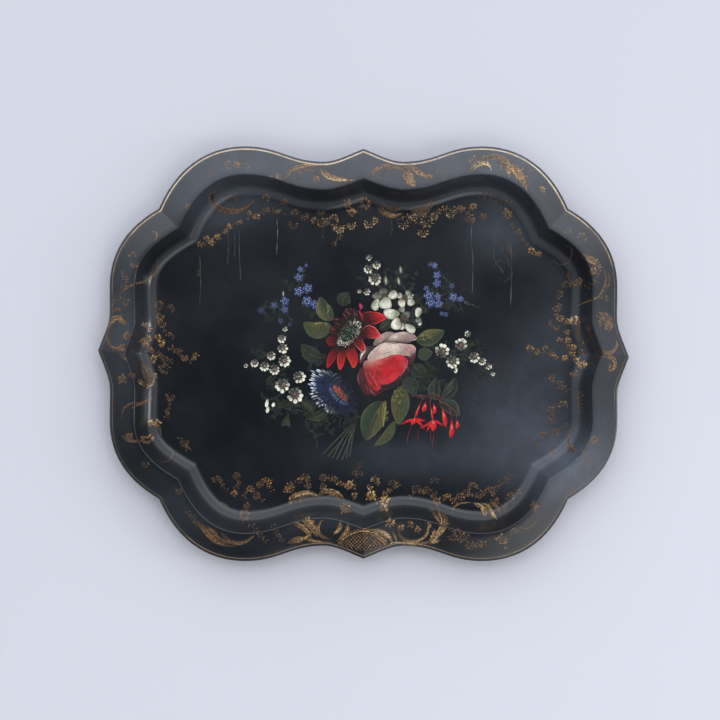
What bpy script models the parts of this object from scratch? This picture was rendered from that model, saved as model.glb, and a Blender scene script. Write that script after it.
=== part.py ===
"""A scalloped serving tray: one pressed steel sheet with its edge curled around a wire.

Metres, +Z up. The tray lies on its floor: X runs along its length, Y across it, and the
origin is at the middle of the floor's underside.
"""
import math

import bmesh
import bpy
from mathutils import Vector

# Driving dimensions, in metres and degrees
HALF_LENGTH = 0.320  # to the point at each end
HALF_WIDTH = 0.247  # to the point in the middle of each long side
SHEET = 0.0009
EDGE_HEIGHT = 0.0320  # top of the flange beside the bead
FLANGE_SLOPE = 7.0
FLANGE_AT_SIDES = 0.0345  # edge to ridge, across the long sides
FLANGE_AT_ENDS = 0.0305  # edge to ridge, across the ends
RIDGE_RADIUS = 0.0014
WALL_ANGLE = 70.0
COVE_RADIUS = 0.0185
BEAD_RADIUS = 0.0026
CURL_TURN = 285.0
WIRE_RADIUS = 0.00135
WIRE_BUTT_GAP = 0.0010
TIP_SKEW = 0.0040  # the end points are cut this far off the middle line, one up, one down

# The cut outline in its first quarter: points, and the directions in which it passes them
SIDE_TIP_ANGLE = -20.0
DIP = (0.0480, 0.2315)
CREST = (0.1425, 0.2500)
NOTCH = (0.2465, 0.1750)
NOTCH_ANGLES = (-67.0, -30.0)
WAIST = (0.3060, 0.0800)
END_TIP_ANGLE = -69.0
HANDLES = (0.32, 0.43, 0.39, 0.39, 0.60)  # Bezier handles, as shares of each chord
SPANS = (4, 5, 6, 5, 4)  # stations along each stretch of the quarter

CURL_STEPS = 10
RIDGE_STEPS = 2
COVE_STEPS = 7
WIRE_BEVEL_RESOLUTION = 2  # a tube of 8 sides
SHARP_ANGLE = 35.0


def heading(degrees):
    return Vector((math.cos(math.radians(degrees)), math.sin(math.radians(degrees))))


def bezier(start, start_dir, end, end_dir, handle, steps):
    """Points from start up to, not including, end."""
    reach = handle * (end - start).length
    first = start + reach * start_dir
    second = end - reach * end_dir
    points = []
    for step in range(steps):
        t = step / steps
        s = 1 - t
        points.append(s**3 * start + 3 * s * s * t * first + 3 * s * t * t * second + t**3 * end)
    return points


def end_inset(inset):
    """The inset across the ends, where the flange is narrower but the bead and wall are not."""
    bead = 2 * BEAD_RADIUS
    if inset <= bead:
        return inset
    if inset >= FLANGE_AT_SIDES:
        return inset - FLANGE_AT_SIDES + FLANGE_AT_ENDS
    return bead + (inset - bead) * (FLANGE_AT_ENDS - bead) / (FLANGE_AT_SIDES - bead)


def quarter(inset, skew):
    """One quarter of the outline moved in by inset, from the long side's point to the end's."""
    along = end_inset(inset)
    before, after = heading(NOTCH_ANGLES[0]), heading(NOTCH_ANGLES[1])
    inward = Vector((before.y + after.y, -before.x - after.x)).normalized()
    mitre = 1 / inward.dot(Vector((before.y, -before.x)))
    faded_skew = skew * max(0.0, 1 - inset / FLANGE_AT_SIDES)
    side_tip = Vector((0.0, HALF_WIDTH - inset / math.cos(math.radians(SIDE_TIP_ANGLE))))
    dip = Vector((DIP[0], DIP[1] - inset))
    crest = Vector((CREST[0], CREST[1] - inset))
    notch = Vector((NOTCH[0] + along * mitre * inward.x, NOTCH[1] + inset * mitre * inward.y))
    waist = Vector((WAIST[0] - along, WAIST[1]))
    end_reach = along / math.sin(math.radians(-END_TIP_ANGLE))
    end_tip = Vector((HALF_LENGTH - end_reach, faded_skew))
    level, down = heading(0.0), heading(-90.0)
    stretches = (
        (side_tip, heading(SIDE_TIP_ANGLE), dip, level),
        (dip, level, crest, level),
        (crest, level, notch, before),
        (notch, after, waist, down),
        (waist, down, end_tip, heading(END_TIP_ANGLE)),
    )
    points = []
    for (start, start_dir, end, end_dir), handle, steps in zip(stretches, HANDLES, SPANS):
        points += bezier(start, start_dir, end, end_dir, handle, steps)
    return points + [end_tip]


def mirrored(points, x, y):
    return [Vector((point.x * x, point.y * y)) for point in points]


def outline(inset):
    """The closed outline, clockwise from the point of the +Y side, moved in by inset."""
    falling = quarter(inset, -TIP_SKEW)
    rising = quarter(inset, TIP_SKEW)[-2:0:-1]  # without the two points that its neighbours give
    return falling + mirrored(rising, 1, -1) + mirrored(falling, -1, -1) + mirrored(rising, -1, 1)


def arc(centre, radius, start, end, steps):
    """Points on an arc, at angles measured from +inset towards +Z."""
    turns = [math.radians(start + (end - start) * step / steps) for step in range(steps + 1)]
    return [(centre[0] + radius * math.cos(a), centre[1] + radius * math.sin(a)) for a in turns]


def bead_centre():
    """Inset and height of the bead's middle, which is the wire's."""
    slope = math.radians(FLANGE_SLOPE)
    return BEAD_RADIUS, EDGE_HEIGHT - BEAD_RADIUS * math.cos(slope)


def section():
    """The sheet's upper face as (inset, height), from the curl's inner end to the floor."""
    slope, wall = math.radians(FLANGE_SLOPE), math.radians(WALL_ANGLE)
    centre = bead_centre()
    flange_normal = 90.0 + FLANGE_SLOPE
    curl = arc(centre, BEAD_RADIUS, flange_normal + CURL_TURN, flange_normal, CURL_STEPS)
    edge = curl[-1]
    corner = (FLANGE_AT_SIDES, edge[1] + (FLANGE_AT_SIDES - edge[0]) * math.tan(slope))
    # the ridge's arc touches the flange before the corner and the wall after it
    back = RIDGE_RADIUS * math.tan((slope + wall) / 2)
    start = (corner[0] - back * math.cos(slope), corner[1] - back * math.sin(slope))
    middle = (start[0] + RIDGE_RADIUS * math.sin(slope), start[1] - RIDGE_RADIUS * math.cos(slope))
    ridge = arc(middle, RIDGE_RADIUS, flange_normal, 90.0 - WALL_ANGLE, RIDGE_STEPS)
    # the cove turns the wall into the floor
    cove_top = SHEET + COVE_RADIUS * (1 - math.cos(wall))
    drop = ridge[-1][1] - cove_top
    foot = ridge[-1][0] + drop / math.tan(wall) + COVE_RADIUS * math.sin(wall)
    cove = arc((foot, SHEET + COVE_RADIUS), COVE_RADIUS, 270.0 - WALL_ANGLE, 270.0, COVE_STEPS)
    return curl + ridge + cove


def material(name, colour, roughness, metallic):
    paint = bpy.data.materials.new(name)
    paint.use_nodes = True
    shader = paint.node_tree.nodes["Principled BSDF"]
    shader.inputs["Base Color"].default_value = (*colour, 1.0)
    shader.inputs["Roughness"].default_value = roughness
    shader.inputs["Metallic"].default_value = metallic
    return paint


def add_object(name, data, collection, finish):
    thing = bpy.data.objects.new(name, data)
    data.materials.append(finish)
    collection.objects.link(thing)
    return thing


def add_shell(collection):
    """The pressed sheet: its upper face lofted ring by ring, then thickened downwards."""
    mesh_maker = bmesh.new()
    rings = []
    for inset, height in section():
        rings.append([mesh_maker.verts.new((*point, height)) for point in outline(inset)])
    for outer, inner in zip(rings, rings[1:]):
        for here in range(len(outer)):
            there = (here + 1) % len(outer)
            mesh_maker.faces.new((outer[here], outer[there], inner[there], inner[here]))
    mesh_maker.faces.new(rings[-1])
    bmesh.ops.recalc_face_normals(mesh_maker, faces=mesh_maker.faces)
    floor = max(mesh_maker.faces, key=lambda face: face.calc_area())
    if floor.normal.z < 0:
        bmesh.ops.reverse_faces(mesh_maker, faces=mesh_maker.faces)
    mesh = bpy.data.meshes.new("tray_shell")
    mesh_maker.to_mesh(mesh)
    mesh_maker.free()
    lacquer = material("black_lacquer", (0.012, 0.013, 0.016), 0.3, 0.0)
    shell = add_object("tray_shell", mesh, collection, lacquer)
    thickness = shell.modifiers.new("sheet", "SOLIDIFY")
    thickness.thickness = SHEET
    thickness.offset = -1.0
    thickness.use_even_offset = True
    mesh.shade_smooth()
    mesh.set_sharp_from_angle(angle=math.radians(SHARP_ANGLE))


def add_wire(collection):
    """The wire inside the bead: one ring, cut open by its butt joint."""
    inset, height = bead_centre()
    path = outline(inset)
    joint = len(path) // 2 + SPANS[0]  # in the dip beside the -Y side's point
    path = path[joint:] + path[:joint]
    last_step = path[0] - path[-1]
    path.append(path[0] - last_step.normalized() * WIRE_BUTT_GAP)
    curve = bpy.data.curves.new("edge_wire", "CURVE")
    curve.dimensions = "3D"
    spline = curve.splines.new("POLY")
    spline.points.add(len(path) - 1)
    for knot, point in zip(spline.points, path):
        knot.co = (*point, height, 1.0)
    curve.bevel_depth = WIRE_RADIUS
    curve.bevel_resolution = WIRE_BEVEL_RESOLUTION
    curve.use_fill_caps = True
    add_object("edge_wire", curve, collection, material("bare_steel", (0.35, 0.35, 0.36), 0.45, 1.0))


def main():
    for thing in list(bpy.data.objects):
        bpy.data.objects.remove(thing)
    collection = bpy.data.collections.new("zhostovo_painted_tray")
    bpy.context.scene.collection.children.link(collection)
    add_shell(collection)
    add_wire(collection)


main()
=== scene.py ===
import math
import random

import bpy
import numpy as np
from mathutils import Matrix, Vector
from mathutils.bvhtree import BVHTree


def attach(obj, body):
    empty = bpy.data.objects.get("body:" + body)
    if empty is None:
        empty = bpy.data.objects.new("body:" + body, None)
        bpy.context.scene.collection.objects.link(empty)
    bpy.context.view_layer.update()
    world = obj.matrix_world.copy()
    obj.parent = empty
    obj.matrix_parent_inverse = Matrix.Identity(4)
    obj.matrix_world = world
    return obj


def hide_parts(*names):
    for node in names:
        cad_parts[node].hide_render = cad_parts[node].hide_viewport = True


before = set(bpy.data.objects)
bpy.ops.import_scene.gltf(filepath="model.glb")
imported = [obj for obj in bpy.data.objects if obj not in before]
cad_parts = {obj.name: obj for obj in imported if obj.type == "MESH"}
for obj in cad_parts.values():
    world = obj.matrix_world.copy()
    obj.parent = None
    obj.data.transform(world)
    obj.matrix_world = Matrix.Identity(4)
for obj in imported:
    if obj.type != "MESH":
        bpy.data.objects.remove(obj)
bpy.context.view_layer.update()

# ------------------------------------------------------------------ the pressed sheet, as in the frame
HALF_LENGTH = 0.320
HALF_WIDTH = 0.247
SHEET = 0.0009
EDGE_HEIGHT = 0.0320
FLANGE_SLOPE = 7.0
FLANGE_AT_SIDES = 0.0345
FLANGE_AT_ENDS = 0.0305
RIDGE_RADIUS = 0.0014
WALL_ANGLE = 70.0
COVE_RADIUS = 0.0185
BEAD_RADIUS = 0.0026
CURL_TURN = 285.0
TIP_SKEW = 0.0040
SIDE_TIP_ANGLE = -20.0
DIP = (0.0480, 0.2315)
CREST = (0.1425, 0.2500)
NOTCH = (0.2465, 0.1750)
NOTCH_ANGLES = (-67.0, -30.0)
WAIST = (0.3060, 0.0800)
END_TIP_ANGLE = -69.0
HANDLES = (0.32, 0.43, 0.39, 0.39, 0.60)

# the fine surface's own steps
SPANS = (14, 18, 22, 18, 14)
CURL_STEPS = 16
FLANGE_STEPS = 5
RIDGE_STEPS = 6
WALL_STEPS = 3
COVE_STEPS = 14
FLOOR_RINGS = 36
BEATING = 0.0002  # how high the hand-beaten floor and flange wave above and below their mean


def heading(degrees):
    return np.array([math.cos(math.radians(degrees)), math.sin(math.radians(degrees))])


def bezier(start, start_dir, end, end_dir, handle, steps):
    """Points from start up to, not including, end, closer together near both."""
    reach = handle * np.linalg.norm(end - start)
    first, second = start + reach * start_dir, end - reach * end_dir
    t = (1 - np.cos(np.pi * np.arange(steps) / steps))[:, None] / 2
    s = 1 - t
    return s**3 * start + 3 * s * s * t * first + 3 * s * t * t * second + t**3 * end


def end_inset(inset):
    """The inset across the ends, where the flange is narrower but the bead and wall are not."""
    bead = 2 * BEAD_RADIUS
    if inset <= bead:
        return inset
    if inset >= FLANGE_AT_SIDES:
        return inset - FLANGE_AT_SIDES + FLANGE_AT_ENDS
    return bead + (inset - bead) * (FLANGE_AT_ENDS - bead) / (FLANGE_AT_SIDES - bead)


def quarter(inset, skew):
    along = end_inset(inset)
    before, after = heading(NOTCH_ANGLES[0]), heading(NOTCH_ANGLES[1])
    inward = np.array([before[1] + after[1], -before[0] - after[0]])
    inward /= np.linalg.norm(inward)
    mitre = 1 / (inward[0] * before[1] - inward[1] * before[0])
    faded_skew = skew * max(0.0, 1 - inset / FLANGE_AT_SIDES)
    side_tip = np.array([0.0, HALF_WIDTH - inset / math.cos(math.radians(SIDE_TIP_ANGLE))])
    dip = np.array([DIP[0], DIP[1] - inset])
    crest = np.array([CREST[0], CREST[1] - inset])
    notch = np.array(NOTCH) + mitre * inward * (along, inset)
    waist = np.array([WAIST[0] - along, WAIST[1]])
    end_reach = along / math.sin(math.radians(-END_TIP_ANGLE))
    end_tip = np.array([HALF_LENGTH - end_reach, faded_skew])
    level, down = heading(0.0), heading(-90.0)
    stretches = (
        (side_tip, heading(SIDE_TIP_ANGLE), dip, level),
        (dip, level, crest, level),
        (crest, level, notch, before),
        (notch, after, waist, down),
        (waist, down, end_tip, heading(END_TIP_ANGLE)),
    )
    parts = [bezier(*ends, handle, steps) for ends, handle, steps in zip(stretches, HANDLES, SPANS)]
    return np.concatenate(parts + [[end_tip]])


def outline(inset):
    """The closed outline, clockwise from the point of the +Y side, moved in by inset."""
    falling = quarter(inset, -TIP_SKEW)
    rising = quarter(inset, TIP_SKEW)[-2:0:-1]
    return np.concatenate([falling, rising * (1, -1), falling * (-1, -1), rising * (-1, 1)])


def arc(centre, radius, start, end, steps):
    turns = np.radians(np.linspace(start, end, steps + 1))
    return [(centre[0] + radius * math.cos(a), centre[1] + radius * math.sin(a)) for a in turns]


def between(start, end, steps):
    """The points inside a straight stretch, without its ends."""
    shares = [step / steps for step in range(1, steps)]
    return [tuple(a + (b - a) * share for a, b in zip(start, end)) for share in shares]


def section():
    """The sheet's upper face as (inset, height), from the curl's inner end to the floor."""
    slope, wall = math.radians(FLANGE_SLOPE), math.radians(WALL_ANGLE)
    centre = (BEAD_RADIUS, EDGE_HEIGHT - BEAD_RADIUS * math.cos(slope))
    flange_normal = 90.0 + FLANGE_SLOPE
    curl = arc(centre, BEAD_RADIUS, flange_normal + CURL_TURN, flange_normal, CURL_STEPS)
    edge = curl[-1]
    corner = (FLANGE_AT_SIDES, edge[1] + (FLANGE_AT_SIDES - edge[0]) * math.tan(slope))
    back = RIDGE_RADIUS * math.tan((slope + wall) / 2)
    start = (corner[0] - back * math.cos(slope), corner[1] - back * math.sin(slope))
    middle = (start[0] + RIDGE_RADIUS * math.sin(slope), start[1] - RIDGE_RADIUS * math.cos(slope))
    ridge = arc(middle, RIDGE_RADIUS, flange_normal, 90.0 - WALL_ANGLE, RIDGE_STEPS)
    cove_top = SHEET + COVE_RADIUS * (1 - math.cos(wall))
    drop = ridge[-1][1] - cove_top
    foot = ridge[-1][0] + drop / math.tan(wall) + COVE_RADIUS * math.sin(wall)
    cove = arc((foot, SHEET + COVE_RADIUS), COVE_RADIUS, 270.0 - WALL_ANGLE, 270.0, COVE_STEPS)
    flange = between(curl[-1], ridge[0], FLANGE_STEPS)
    straight = between(ridge[-1], cove[0], WALL_STEPS)
    return curl + flange + ridge + straight + cove


def beating(x, y):
    """A hand-beaten sheet's slow waves, from -1 to 1."""
    wave = np.sin(31 * x + 17 * y + 0.4) + np.sin(-23 * x + 39 * y + 1.9) + np.sin(52 * x - 11 * y + 4.1)
    return wave / 3


def sheet_surface():
    """The upper face's points and faces, ring by ring down to the middle of the floor."""
    rings = []
    for inset, height in section():
        border = outline(inset)
        rings.append(np.column_stack([border, np.full(len(border), height)]))
    foot = rings[-1]
    for ring in range(1, FLOOR_RINGS):
        size = 1 - ring / FLOOR_RINGS
        rings.append(foot * (size, size, 1))
    count = len(foot)
    points = np.concatenate(rings + [[(0.0, 0.0, SHEET)]])
    # the waves begin at the bead, and their lowest places rest on the ground
    share = np.clip((np.arange(len(points)) // count - CURL_STEPS) / FLANGE_STEPS, 0, 1)
    points[:, 2] += share * BEATING * (1 + beating(points[:, 0], points[:, 1]))
    faces = []
    for ring in range(len(rings) - 1):
        outer, inner = ring * count, (ring + 1) * count
        for here in range(count):
            there = (here + 1) % count
            faces.append((outer + there, outer + here, inner + here, inner + there))
    last, middle = (len(rings) - 1) * count, len(points) - 1
    faces += [(last + (here + 1) % count, last + here, middle) for here in range(count)]
    return points, faces


POINTS, FACES = sheet_surface()
SURFACE = BVHTree.FromPolygons([tuple(point) for point in POINTS], FACES)


# ------------------------------------------------------------------ node materials
def srgb(text):
    """A colour written as six hexadecimal digits, as linear red, green and blue."""
    parts = [int(text[at : at + 2], 16) / 255 for at in (0, 2, 4)]
    return np.array([((c + 0.055) / 1.055) ** 2.4 if c > 0.04045 else c / 12.92 for c in parts])


class Nodes:
    """A material's node tree, with short calls to add and link nodes."""

    def __init__(self, name):
        self.material = bpy.data.materials.new(name)
        self.material.use_nodes = True
        self.tree = self.material.node_tree
        self.shader = self.tree.nodes["Principled BSDF"]

    def feed(self, socket, value):
        """Link or set one input. A plain colour is given without its alpha."""
        if isinstance(value, bpy.types.NodeSocket):
            self.tree.links.new(value, socket)
        elif socket.type == "RGBA":
            socket.default_value = (*value, 1.0)
        else:
            socket.default_value = value

    def add(self, kind, *values, **inputs):
        """A new node. The values go to its first inputs, and the others go by name."""
        node = self.tree.nodes.new("ShaderNode" + kind)
        for socket, value in zip(node.inputs, values):
            self.feed(socket, value)
        for name, value in inputs.items():
            self.feed(node.inputs[name], value)
        return node

    def place(self):
        return self.add("TexCoord").outputs["Object"]

    def attribute(self, name, output):
        node = self.add("Attribute")
        node.attribute_name = name
        return node.outputs[output]

    def maths(self, operation, first, second):
        node = self.add("Math", first, second)
        node.operation = operation
        return node.outputs[0]

    def noise(self, vector, scale, detail, roughness=0.55, distortion=0.0):
        """Noise with about scale grains to each unit of vector."""
        inputs = {"Vector": vector, "Scale": scale, "Detail": detail}
        node = self.add("TexNoise", Roughness=roughness, Distortion=distortion, **inputs)
        return node.outputs["Fac"]

    def ramp(self, fac, low, high, from_value=0.0, to_value=1.0):
        """fac's stretch from low to high, spread smoothly over from_value to to_value."""
        node = self.add("MapRange", fac, low, high, from_value, to_value)
        node.interpolation_type = "SMOOTHSTEP"
        return node.outputs[0]

    def mix(self, fac, first, second, blend_type="MIX"):
        node = self.add("Mix")
        node.data_type = "RGBA"
        node.blend_type = blend_type
        for at, value in ((0, fac), (6, first), (7, second)):
            self.feed(node.inputs[at], value)
        return node.outputs[2]

    def bump(self, height, strength, distance):
        return self.add("Bump", Height=height, Strength=strength, Distance=distance).outputs[0]

    def finish(self, **inputs):
        """Feed the shader's own inputs, named with _ for a space, and give the material."""
        for name, value in inputs.items():
            self.feed(self.shader.inputs[name.replace("_", " ")], value)
        return self.material


def lacquer():
    """Aged black lacquer: dirt, bloom mixed with painted reflection, fine scratches and an uneven gloss.
    """
    n = Nodes("lacquer")
    place = n.place()
    cloudy = n.noise(place, 9.0, 4.0, 0.6)
    fine = n.noise(place, 160.0, 5.0, 0.6)
    bloom_and_sheen = n.attribute("bloom_and_sheen", "Fac")
    body = n.mix(n.ramp(cloudy, 0.35, 0.7), (0.0045, 0.006, 0.008), (0.009, 0.0105, 0.013))
    # the misty blue-grey lightening is partly varnish bloom and partly painted reflection of the light
    bloom_and_sheen_veil = n.maths("MULTIPLY", bloom_and_sheen, n.ramp(n.noise(place, 22.0, 5.0, 0.65, 0.6), 0.25, 0.8, 0.55, 1.15))
    misted_and_sheened = n.mix(bloom_and_sheen_veil, body, (0.085, 0.1, 0.125))
    stretched = n.add("Mapping", Vector=place)
    stretched.inputs["Scale"].default_value = (1.0, 14.0, 1.0)
    scratches = n.ramp(n.noise(stretched.outputs[0], 70.0, 2.0, 0.7), 0.64, 0.8, 0.0, 0.1)
    specks = n.ramp(n.noise(place, 420.0, 2.0, 0.5), 0.68, 0.85, 0.0, 0.2)
    marks = n.maths("ADD", scratches, specks)
    colour = n.mix(marks, misted_and_sheened, (0.09, 0.085, 0.08))
    gloss = n.maths("ADD", n.ramp(cloudy, 0.3, 0.75, 0.2, 0.26), n.ramp(fine, 0.3, 0.8, -0.005, 0.01))
    gloss = n.maths("ADD", gloss, n.maths("MULTIPLY", bloom_and_sheen, 0.12))
    normal = n.bump(n.maths("ADD", fine, n.maths("MULTIPLY", cloudy, 6.0)), 0.05, 0.0006)
    return n.finish(Base_Color=colour, Roughness=gloss, Normal=normal)


def underside_lacquer():
    """The underside's thinner, browner coat, rubbed where it slides on tables."""
    n = Nodes("underside_lacquer")
    place = n.place()
    cloudy = n.noise(place, 14.0, 5.0, 0.62, 0.4)
    rubbed = n.ramp(n.noise(place, 55.0, 6.0, 0.7), 0.56, 0.74, 0.0, 0.55)
    body = n.mix(n.ramp(cloudy, 0.3, 0.7), (0.011, 0.0105, 0.01), (0.026, 0.02, 0.016))
    colour = n.mix(rubbed, body, (0.06, 0.045, 0.033))
    gloss = n.ramp(cloudy, 0.3, 0.75, 0.42, 0.6)
    return n.finish(Base_Color=colour, Roughness=gloss, Normal=n.bump(cloudy, 0.2, 0.001))


def artist_paint():
    """Oil colour under varnish: each stroke's colour, streaked along the brush's path."""
    n = Nodes("artist_paint")
    colour = n.attribute("paint", "Color")
    streaks = n.noise(n.attribute("brush", "Vector"), 1.0, 4.0, 0.6)
    shade = n.ramp(streaks, 0.25, 0.75, 0.72, 1.25)
    mottled = n.ramp(n.noise(n.place(), 150.0, 6.0, 0.7, 0.4), 0.3, 0.7, 0.76, 1.16)
    shade = n.maths("MULTIPLY", shade, mottled)
    grey = n.add("CombineColor", shade, shade, shade).outputs[0]
    tinted = n.mix(1.0, colour, grey, "MULTIPLY")
    gloss = n.ramp(streaks, 0.2, 0.8, 0.24, 0.38)
    return n.finish(Base_Color=tinted, Roughness=gloss, Normal=n.bump(streaks, 0.35, 0.00012))


def gold_paint():
    """Bronze powder in varnish: duller than metal, worn through in specks."""
    n = Nodes("gold_paint")
    place = n.place()
    colour = n.attribute("paint", "Color")
    worn = n.ramp(n.noise(place, 520.0, 3.0, 0.7), 0.38, 0.62)
    tinted = n.mix(worn, (0.02, 0.015, 0.011), colour)
    streaks = n.noise(n.attribute("brush", "Vector"), 1.0, 3.0, 0.6)
    gloss = n.ramp(streaks, 0.2, 0.8, 0.22, 0.34)
    metal = n.ramp(worn, 0.3, 0.9, 0.0, 0.15)
    normal = n.bump(streaks, 0.3, 0.0001)
    return n.finish(Base_Color=tinted, Roughness=gloss, Metallic=metal, Normal=normal)


def drawn_steel():
    """The edge's wire, with the die's long scratches and a thin brown rust."""
    n = Nodes("drawn_steel")
    place = n.place()
    rust = n.ramp(n.noise(place, 130.0, 5.0, 0.65), 0.45, 0.7)
    colour = n.mix(rust, (0.3, 0.3, 0.31), (0.12, 0.06, 0.03))
    gloss = n.ramp(rust, 0.0, 1.0, 0.35, 0.75)
    metal = n.ramp(rust, 0.0, 1.0, 1.0, 0.2)
    return n.finish(Base_Color=colour, Roughness=gloss, Metallic=metal)


# ------------------------------------------------------------------ the shell
BLOOMS_AND_SHEEN = (  # where the varnish has gone misty, and painted reflection of the light on the lacquer: x, y, reach along x and y in mm, and strength
    (182, -88, 58, 58, 0.42),
    (60, -128, 110, 26, 0.26),
    (222, -22, 40, 70, 0.18),
    (255, -128, 60, 42, 0.5),
    (-172, 176, 60, 30, 0.35),
    (168, 150, 52, 34, 0.42),
    (232, 40, 30, 60, 0.16),
    (12, 236, 230, 34, 0.3),
    (-160, 222, 90, 40, 0.25),
    (165, 228, 90, 40, 0.3),
    (288, -90, 22, 46, 0.1),
    (245, -150, 40, 34, 0.5),
    (-288, 50, 26, 70, 0.3),
    (-225, -190, 60, 40, 0.15),
    (-60, -200, 70, 12, 0.2),
    (285, 10, 30, 60, 0.15),
)


def bloom_and_sheen_at(x, y):
    total = 0.0
    for at_x, at_y, reach_x, reach_y, strength in BLOOMS_AND_SHEEN:
        away = ((x * 1000 - at_x) / reach_x) ** 2 + ((y * 1000 - at_y) / reach_y) ** 2
        total += strength * math.exp(-away)
    return min(total, 1.0)


def add_piece(name, points, faces, materials):
    mesh = bpy.data.meshes.new(name)
    mesh.from_pydata([tuple(point) for point in points], [], faces)
    mesh.shade_smooth()
    for finish in materials:
        mesh.materials.append(finish)
    piece = bpy.data.objects.new(name, mesh)
    bpy.context.scene.collection.objects.link(piece)
    return piece


def add_shell():
    shell = add_piece("lacquered_sheet", POINTS, FACES, [lacquer(), underside_lacquer()])
    # a field of varnish bloom and painted reflection, read by the lacquer's colour
    bloom_and_sheen = shell.data.attributes.new("bloom_and_sheen", "FLOAT", "POINT")
    bloom_and_sheen.data.foreach_set("value", [bloom_and_sheen_at(x, y) for x, y, _ in POINTS])
    thickness = shell.modifiers.new("sheet", "SOLIDIFY")
    thickness.thickness = SHEET
    thickness.offset = -1.0
    thickness.use_even_offset = True
    thickness.material_offset = 1
    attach(shell, "root")
    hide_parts("tray_shell")


# ------------------------------------------------------------------ brushwork
MM = 0.001
CLEAR_ABOVE = 0.1  # metres: higher than any part of the tray
BLACK = srgb("0b0c0f")
EMBED = -0.03  # mm: a stroke's foot is sunk this far into the lacquer
LAYER = 0.002  # mm from one stroke to the next over it
THINNEST = 0.02  # mm: the least half width of a stroke
STEP_LENGTH = 1.6  # mm along a stroke
FEWEST_STEPS, MOST_STEPS = 6, 40
BRISTLES_ALONG, BRISTLES_ACROSS = 0.3, 2.4  # bristle streaks to the millimetre, about
BRISTLE_SEEDS = 50  # strokes differ by where in this span their streaks begin
TOP_TILT = 0.2  # a face is a stroke's top down to this cosine to the sheet's own direction
LEAF_STEPS = 20  # along a leaf's midrib


def drape(x, y, lift):
    """The point of the tray's upper face over (x, y), raised by lift. All in millimetres."""
    above = Vector((x * MM, y * MM, CLEAR_ABOVE))
    hit, normal, _, _ = SURFACE.ray_cast(above, Vector((0, 0, -1)))
    if hit is None:
        hit, normal, _, _ = SURFACE.find_nearest(Vector((x * MM, y * MM, EDGE_HEIGHT)))
    return hit + normal * lift * MM, normal


def lay_flat(mesh, normals):
    """Shade the tops of strokes like the sheet below them, and their other faces as they are."""
    corners, totals = np.empty(len(mesh.loops), np.int32), np.empty(len(mesh.polygons), np.int32)
    mesh.loops.foreach_get("vertex_index", corners)
    mesh.polygons.foreach_get("loop_total", totals)
    own = np.empty(len(mesh.polygons) * 3, np.float32)
    mesh.polygons.foreach_get("normal", own)
    own = np.repeat(own.reshape(-1, 3), totals, axis=0)
    sheet = np.array(normals)[corners]
    upward = np.sum(own * sheet, axis=1) > TOP_TILT
    mesh.normals_split_custom_set(np.where(upward[:, None], sheet, own).tolist())


def smooth(low, high, value):
    share = min(max((value - low) / (high - low), 0.0), 1.0)
    return share * share * (3 - 2 * share)


def mixed(first, second, share):
    return first + (second - first) * share


def ramp(colours, t):
    """The colour at t of an even run of colours."""
    at = min(max(t, 0.0), 1.0) * (len(colours) - 1)
    low = min(int(at), len(colours) - 2)
    return mixed(colours[low], colours[low + 1], at - low)


def curve_through(knots, steps, closed=False):
    """Points along a smooth curve through the knots."""
    knots = np.array(knots, float)
    count = len(knots)
    if count == 2 and not closed:
        return knots[0] + (knots[1] - knots[0]) * np.linspace(0, 1, steps + 1)[:, None]
    if closed:
        padded = np.vstack([knots[-1], knots, knots[0], knots[1]])
        spans = count
        places = np.linspace(0, spans, steps, endpoint=False)
    else:
        padded = np.vstack([2 * knots[0] - knots[1], knots, 2 * knots[-1] - knots[-2]])
        spans = count - 1
        places = np.linspace(0, spans, steps + 1)
    points = []
    for place in places:
        span = min(int(place), spans - 1)
        t = place - span
        a, b, c, d = padded[span : span + 4]
        square, cube = 2 * a - 5 * b + 4 * c - d, 3 * b - a - 3 * c + d
        points.append(0.5 * (2 * b + (c - a) * t + square * t * t + cube * t**3))
    return np.array(points)


def directions(curve):
    """The unit direction of a curve at each of its points."""
    slopes = np.gradient(curve, axis=0)
    return slopes / np.maximum(np.linalg.norm(slopes, axis=1), 1e-9)[:, None]


def leafy(width, fullness=0.7, belly=0.5):
    """Half widths of a stroke that swells and ends in points, widest at belly."""
    power = math.log(0.5) / math.log(belly)
    return lambda t: width * max(math.sin(math.pi * t**power), 0.0) ** fullness


def shaded(*along, side=None, towards=1.0):
    """Colours along a stroke, with another colour on one side."""

    def colour(t, s):
        here = ramp(along, t) if len(along) > 1 else along[0]
        if side is not None:
            here = mixed(here, side, smooth(0.0, 1.0, s * towards))
        return here

    return colour


def evenly(colour):
    """A field's colour as a function of the place, unless it is one already."""
    return colour if callable(colour) else (lambda *_: colour)


def wet(base, *touches):
    """Colours worked into each other.

    Each touch is (x, y, reach along, reach across, turn, colour, strength).
    """

    def colour(x, y):
        here = base
        for at_x, at_y, along, across, turn, touch, strength in touches:
            c, s = heading(turn)
            dx, dy = x - at_x, y - at_y
            away = ((dx * c + dy * s) / along) ** 2 + ((dy * c - dx * s) / across) ** 2
            here = mixed(here, touch, strength * math.exp(-away))
        return here

    return colour


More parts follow.
